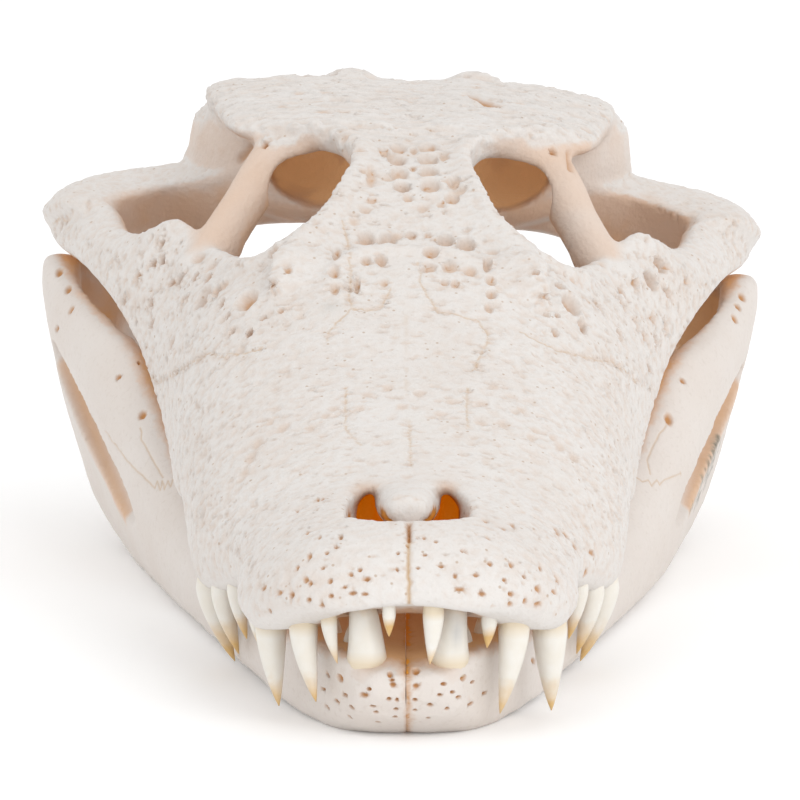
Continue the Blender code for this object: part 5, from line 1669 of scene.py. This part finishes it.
def tooth_piece(kind, side, number, base, up, row):
    """One tooth, with how far along it each point is, which replaces its solid."""
    _, _, wide, long, lean_x, lean_y = row
    label = f"{kind}_{'left' if side > 0 else 'right'}_{number:02d}"
    blunt = kind == "lower_tooth" and number == 1
    lean = (lean_x, lean_y)
    piece = added(label + "_enamel", lambda bm: tooth_body(bm, side, base, up, wide, long, lean, blunt))
    stained = SMALL_STAIN if long < SMALL_CROWN and row[0] < FRONT_Y else 0
    if up < 0 and STAINED_ROWS[0] <= number <= STAINED_ROWS[1]:
        stained = STAINED_BY
    points = rows_of(piece.data.vertices, "co") / MM
    paint(piece, "along", (points[:, 2] - base[2]) * up / long + stained)
    if label == GREY_TOOTH:
        away = (points + FROM_SKULL - np.array(GREY_SPOT)) / np.array(GREY_SIZE)
        paint(piece, "dirt", GREY_AMOUNT * np.exp(-(away**2).sum(axis=1)))
    piece.data.shade_smooth()
    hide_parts(label)
    return piece


def hind_teeth(side):
    """The hindmost lower teeth of a side, which a closed mouth hides, as one piece."""
    name = f"lower_teeth_hind_{'left' if side > 0 else 'right'}"

    def build(bm):
        """All nine teeth."""
        for y, x, wide, long in LOWER_HIND:
            tooth_body(bm, side, lower_base(y, x), 1, wide, long, (0.1, 0))

    piece = added(name, build)
    heights = []
    for vert in piece.data.vertices:
        y = vert.co.y / MM + MIDDLE[1]
        row = min(LOWER_HIND, key=lambda r: abs(r[0] - y))
        heights.append((vert.co.z / MM - lower_base(row[0], row[1])[2]) / row[3])
    paint(piece, "along", heights)
    piece.data.shade_smooth()
    return piece


teeth = [hind_teeth(side) for side in (-1, 1)]
for side, rows in ((1, UPPER_LEFT), (-1, UPPER_RIGHT)):
    for number, row in enumerate(rows, 1):
        teeth.append(tooth_piece("upper_tooth", side, number, upper_base(row[0], row[1]), -1, row))
    for number, row in enumerate(LOWER, 1):
        teeth.append(tooth_piece("lower_tooth", side, number, lower_base(row[0], row[1]), 1, row))
print(len(teeth), "teeth")


# %% [markdown]
# ## Materials
# Bleached bone is a matte, slightly translucent mineral: rough, with an index of refraction near 1.55.
# Where it is closed in, tan is painted on as shade, and nerve holes keep amber fat. Enamel is smoother and
# glassier.

# %% Nodes in a line or two
def linear(code):
    """An sRGB hex colour as linear red, green, blue and alpha."""
    parts = [int(code[i:i + 2], 16) / 255 for i in (1, 3, 5)]
    return tuple(c / 12.92 if c <= 0.04045 else ((c + 0.055) / 1.055)**2.4 for c in parts) + (1,)


def node(tree, kind, inputs=None, **settings):
    """Adds a node with its settings; an input gets a number, a hex colour or another node's output."""
    made = tree.nodes.new(kind)
    for key, value in settings.items():
        setattr(made, key, value)
    for key, value in (inputs or {}).items():
        if isinstance(value, bpy.types.NodeSocket):
            tree.links.new(value, made.inputs[key])
        else:
            made.inputs[key].default_value = linear(value) if isinstance(value, str) else value
    return made


def blank(name, roughness, ior):
    """A new material, its node tree and its shader."""
    made = bpy.data.materials.new(name)
    made.use_nodes = True
    shader = made.node_tree.nodes["Principled BSDF"]
    shader.inputs["Roughness"].default_value = roughness
    shader.inputs["IOR"].default_value = ior
    return made, made.node_tree, shader


print("paper white as linear light:", [round(c, 3) for c in linear("#FCFCFC")])

# %% [markdown]
# ## Bone
# The colour is built up in layers: pink clouds, dust in the grain, pores, cream and tan painted as shade
# where the bone is closed in, then painted shade in the hollows, amber, seams, dirt and a painted glow of
# light through thin bone. One flat colour with a picture laid over it would look the same from one side only;
# layers that read tones of the skin hold from every side.

# %% Layers of bone
# Sizes in millimetres: the pink clouds, the grain, the distance of the finest pores and the relief
CLOUD_SIZE = 14
GRAIN_SIZE = 0.8
PORE_SPACING = 2.3
RELIEF_MM = 0.5
# Where each layer begins, where it is full, and how strong it gets there
DUST = (0.56, 0.8, 0.35)
PORES = (0.13, 0.07, 0.55)
# The next two are painted shade, following how closed in the bone is, and the third is a painted glow of
# light through thin bone
CREAM_SHADE = (0.36, 0.68, 1)
TAN_SHADE = (0.68, 1, 1)
PAINTED_GLOW = (0.4, 0.6, 1)
# How much the clouds sway the painted tan, how strong the painted shade of the hollows is, and how strong the
# seams are
CLOUD_SWAY = 0.3
PIT_SHADE_SHARE = 0.8
SEAM_SHARE = 0.8
BONE_IOR = 1.55
print("grain per cloud:", round(CLOUD_SIZE / GRAIN_SIZE, 1))

# %% [markdown]
# ## The material of bone
# One function makes both kinds: the pitted roof bones, and the smoother, slightly glossier jaw. They
# differ in five numbers and colours, so two materials made by hand would only drift apart.

# %% Bone
def bone(name, pale, blush, roughness, relief, light_through):
    """Dry bone: pale and a little pink in clouds, tan painted inside as shade, amber in its holes and seams.
    """
    made, tree, shader = blank(name, roughness, BONE_IOR)
    spot = node(tree, "ShaderNodeTexCoord").outputs["Object"]
    tone, pitted, dirt = [node(tree, "ShaderNodeAttribute", attribute_name=stored)
                          for stored in ("tone", "pitted", "dirt")]
    split = node(tree, "ShaderNodeSeparateColor", {"Color": tone.outputs["Color"]})
    closed_shade, hollow, amber = [split.outputs[channel] for channel in ("Red", "Green", "Blue")]
    noises = []
    for size in (CLOUD_SIZE, GRAIN_SIZE):
        settings = {"Vector": spot, "Scale": 1 / (size * MM), "Detail": 2}
        noises.append(node(tree, "ShaderNodeTexNoise", settings).outputs["Fac"])
    clouds, grain = noises
    settings = {"Vector": spot, "Scale": 1 / (PORE_SPACING * MM)}
    pores = node(tree, "ShaderNodeTexVoronoi", settings, feature="F1").outputs["Distance"]
    settings = {0: clouds, 1: CLOUD_SWAY, 2: closed_shade}
    cloudy = node(tree, "ShaderNodeMath", settings, operation="MULTIPLY_ADD").outputs[0]
    deep = node(tree, "ShaderNodeMath", {0: closed_shade, 1: amber}, operation="MULTIPLY").outputs[0]
    masks = []
    for value, limits in ((grain, DUST), (pores, PORES), (cloudy, CREAM_SHADE), (cloudy, TAN_SHADE), (deep, PAINTED_GLOW)):
        settings = {"Value": value, "From Min": limits[0], "From Max": limits[1], "To Max": limits[2]}
        masks.append(node(tree, "ShaderNodeMapRange", settings).outputs[0])
    dust, pore, cream, tan, glow = masks
    products = []
    for first, second in ((pore, pitted.outputs["Fac"]), (hollow, PIT_SHADE_SHARE),
                          (tone.outputs["Alpha"], SEAM_SHARE), (tan, tan)):
        products.append(node(tree, "ShaderNodeMath", {0: first, 1: second}, operation="MULTIPLY").outputs[0])
    pore, hollow, seam, through = products
    # Cream and tan are painted shade in closed-in places, hollow is painted shade in pits and valleys, and
    # the last is a painted glow
    layers = [(clouds, blush), (dust, "#C2B5A9"), (pore, "#A5835F"), (cream, "#D6BBA6"), (tan, "#CFA47A"),
              (hollow, "#CBAE96"), (amber, "#B4761F"), (seam, "#BE9762"), (dirt.outputs["Fac"], "#6A6A5C"),
              (glow, "#D89430")]
    colour = pale
    for share, code in layers:
        colour = node(tree, "ShaderNodeMix", {0: share, 6: colour, 7: code}, data_type="RGBA").outputs[2]
    tree.links.new(colour, shader.inputs["Base Color"])
    # A painted glow: emission where the bone is painted tan, for the little light that comes through thin
    # bone where it closes in a space
    lit = node(tree, "ShaderNodeMix", {0: glow, 6: "#D8B080", 7: "#E08600"}, data_type="RGBA")
    through = node(tree, "ShaderNodeMath", {0: through, 1: light_through}, operation="MULTIPLY")
    tree.links.new(lit.outputs[2], shader.inputs["Emission Color"])
    tree.links.new(through.outputs[0], shader.inputs["Emission Strength"])
    bump = node(tree, "ShaderNodeBump", {"Height": grain, "Strength": relief, "Distance": RELIEF_MM * MM})
    tree.links.new(bump.outputs[0], shader.inputs["Normal"])
    # The glow is too weak to light anything else, so no light rays are spent on it
    made.cycles.emission_sampling = "NONE"
    print(name, "has", len(tree.nodes), "nodes")
    return made


# The last number is how strong the painted glow is
dry_bone = bone("bleached_bone_pitted", "#DEDBD8", "#D6CFC9", 0.62, 0.4, 0.2)
jaw_bone = bone("bleached_bone_smooth", "#DCD6D1", "#D4C9C0", 0.55, 0.18, 0.08)

# %% [markdown]
# ## Enamel
# A tooth is near white, a little creamy at its root, and amber at its worn tip. How far along the tooth a
# point is decides which, with some unevenness from a noise, so that no two tips end alike.

# %% Enamel
STREAK_SIZE = 2.4
STREAK_SWAY = 0.3
TIP = (0.72, 1.14)
ROOT = (0.1, -0.06)
ENAMEL_IOR = 1.6
ENAMEL_ROUGHNESS = 0.32


def enamel():
    """Worn enamel with an amber tip."""
    made, tree, shader = blank("worn_enamel_amber_tips", ENAMEL_ROUGHNESS, ENAMEL_IOR)
    spot = node(tree, "ShaderNodeTexCoord").outputs["Object"]
    along, dirt = [node(tree, "ShaderNodeAttribute", attribute_name=stored).outputs["Fac"]
                   for stored in ("along", "dirt")]
    settings = {"Vector": spot, "Scale": 1 / (STREAK_SIZE * MM), "Detail": 3}
    streaks = node(tree, "ShaderNodeTexNoise", settings).outputs["Fac"]
    settings = {0: streaks, 1: STREAK_SWAY, 2: along}
    uneven = node(tree, "ShaderNodeMath", settings, operation="MULTIPLY_ADD").outputs[0]
    masks = []
    for value, limits in ((uneven, TIP), (along, ROOT)):
        settings = {"Value": value, "From Min": limits[0], "From Max": limits[1]}
        masks.append(node(tree, "ShaderNodeMapRange", settings).outputs[0])
    tip, root = masks
    colour = "#E8E6E1"
    for share, code in ((streaks, "#E0D9CB"), (root, "#DCCDB4"), (dirt, "#8E9094"), (tip, "#D2AC6E")):
        colour = node(tree, "ShaderNodeMix", {0: share, 6: colour, 7: code}, data_type="RGBA").outputs[2]
    tree.links.new(colour, shader.inputs["Base Color"])
    return made


tooth_enamel = enamel()
print("enamel has", len(tooth_enamel.node_tree.nodes), "nodes")

# %% [markdown]
# ## Thin and dress
# Each bone is brought down to its number of triangles and gets its material. The solid that each piece
# replaces is hidden, and every piece rides on the one body of the part, because nothing here moves.

# %% Thin the bones and dress them
CRANIUM_TRIANGLES = 190000
RAMUS_TRIANGLES = 80000
dressed = [(cranium, dry_bone, "bone", ["cranium"], CRANIUM_TRIANGLES),
           (rami[0], jaw_bone, "jaw_bone", ["mandible_left"], RAMUS_TRIANGLES),
           (rami[1], jaw_bone, "jaw_bone", ["mandible_right"], RAMUS_TRIANGLES)]
for piece, finish, slot, nodes, most in dressed:
    thinned(skins[piece.name], most)
    piece.data.materials.clear()
    piece.data.materials.append(finish)
    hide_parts(*nodes)
for piece in teeth:
    piece.data.materials.append(tooth_enamel)
for piece in [row[0] for row in dressed] + teeth:
    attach(piece, "root")

# %% [markdown]
# ## Floor and light
# The photograph is a plain pack shot: white paper, one broad soft light, almost no shadow. A white world
# lights everything evenly, and one soft box high on the side gives the little form there is.

# %% Floor and light
bpy.ops.mesh.primitive_plane_add(size=12)
floor = bpy.context.object
floor.name = "paper_floor"
paper, _, paper_shader = blank("white_paper", 0.9, 1.5)
WHITE = (1, 1, 1, 1)
paper_shader.inputs["Base Color"].default_value = linear("#FCFCFC")
# The paper is lit from below as well, which leaves hardly any shadow
PAPER_GLOW = 0.07
paper_shader.inputs["Emission Color"].default_value = WHITE
paper_shader.inputs["Emission Strength"].default_value = PAPER_GLOW
floor.data.materials.append(paper)

WORLD_STRENGTH = 1.01
world = bpy.data.worlds.new("studio")
world.use_nodes = True
background = world.node_tree.nodes["Background"]
background.inputs["Color"].default_value = WHITE
background.inputs["Strength"].default_value = WORLD_STRENGTH
bpy.context.scene.world = world
# What the light is aimed at, where it stands, its width in metres and its power in watts
LIT_POINT = Vector((0, 0, 0.04))
KEY_SPOT = (0.6, -1.1, 0.75)
KEY_WIDTH = 0.7
KEY_POWER = 4.5


def softbox(name, spot, width, power):
    """A square light that faces the skull."""
    light_data = bpy.data.lights.new(name, "AREA")
    light_data.size = width
    light_data.energy = power
    light = bpy.data.objects.new(name, light_data)
    light.location = spot
    light.rotation_euler = (LIT_POINT - Vector(spot)).to_track_quat("-Z", "Y").to_euler()
    bpy.context.scene.collection.objects.link(light)


softbox("key", KEY_SPOT, KEY_WIDTH, KEY_POWER)
bpy.context.scene.view_settings.view_transform = "Standard"
print("soft box of", KEY_WIDTH, "m and", KEY_POWER, "W")
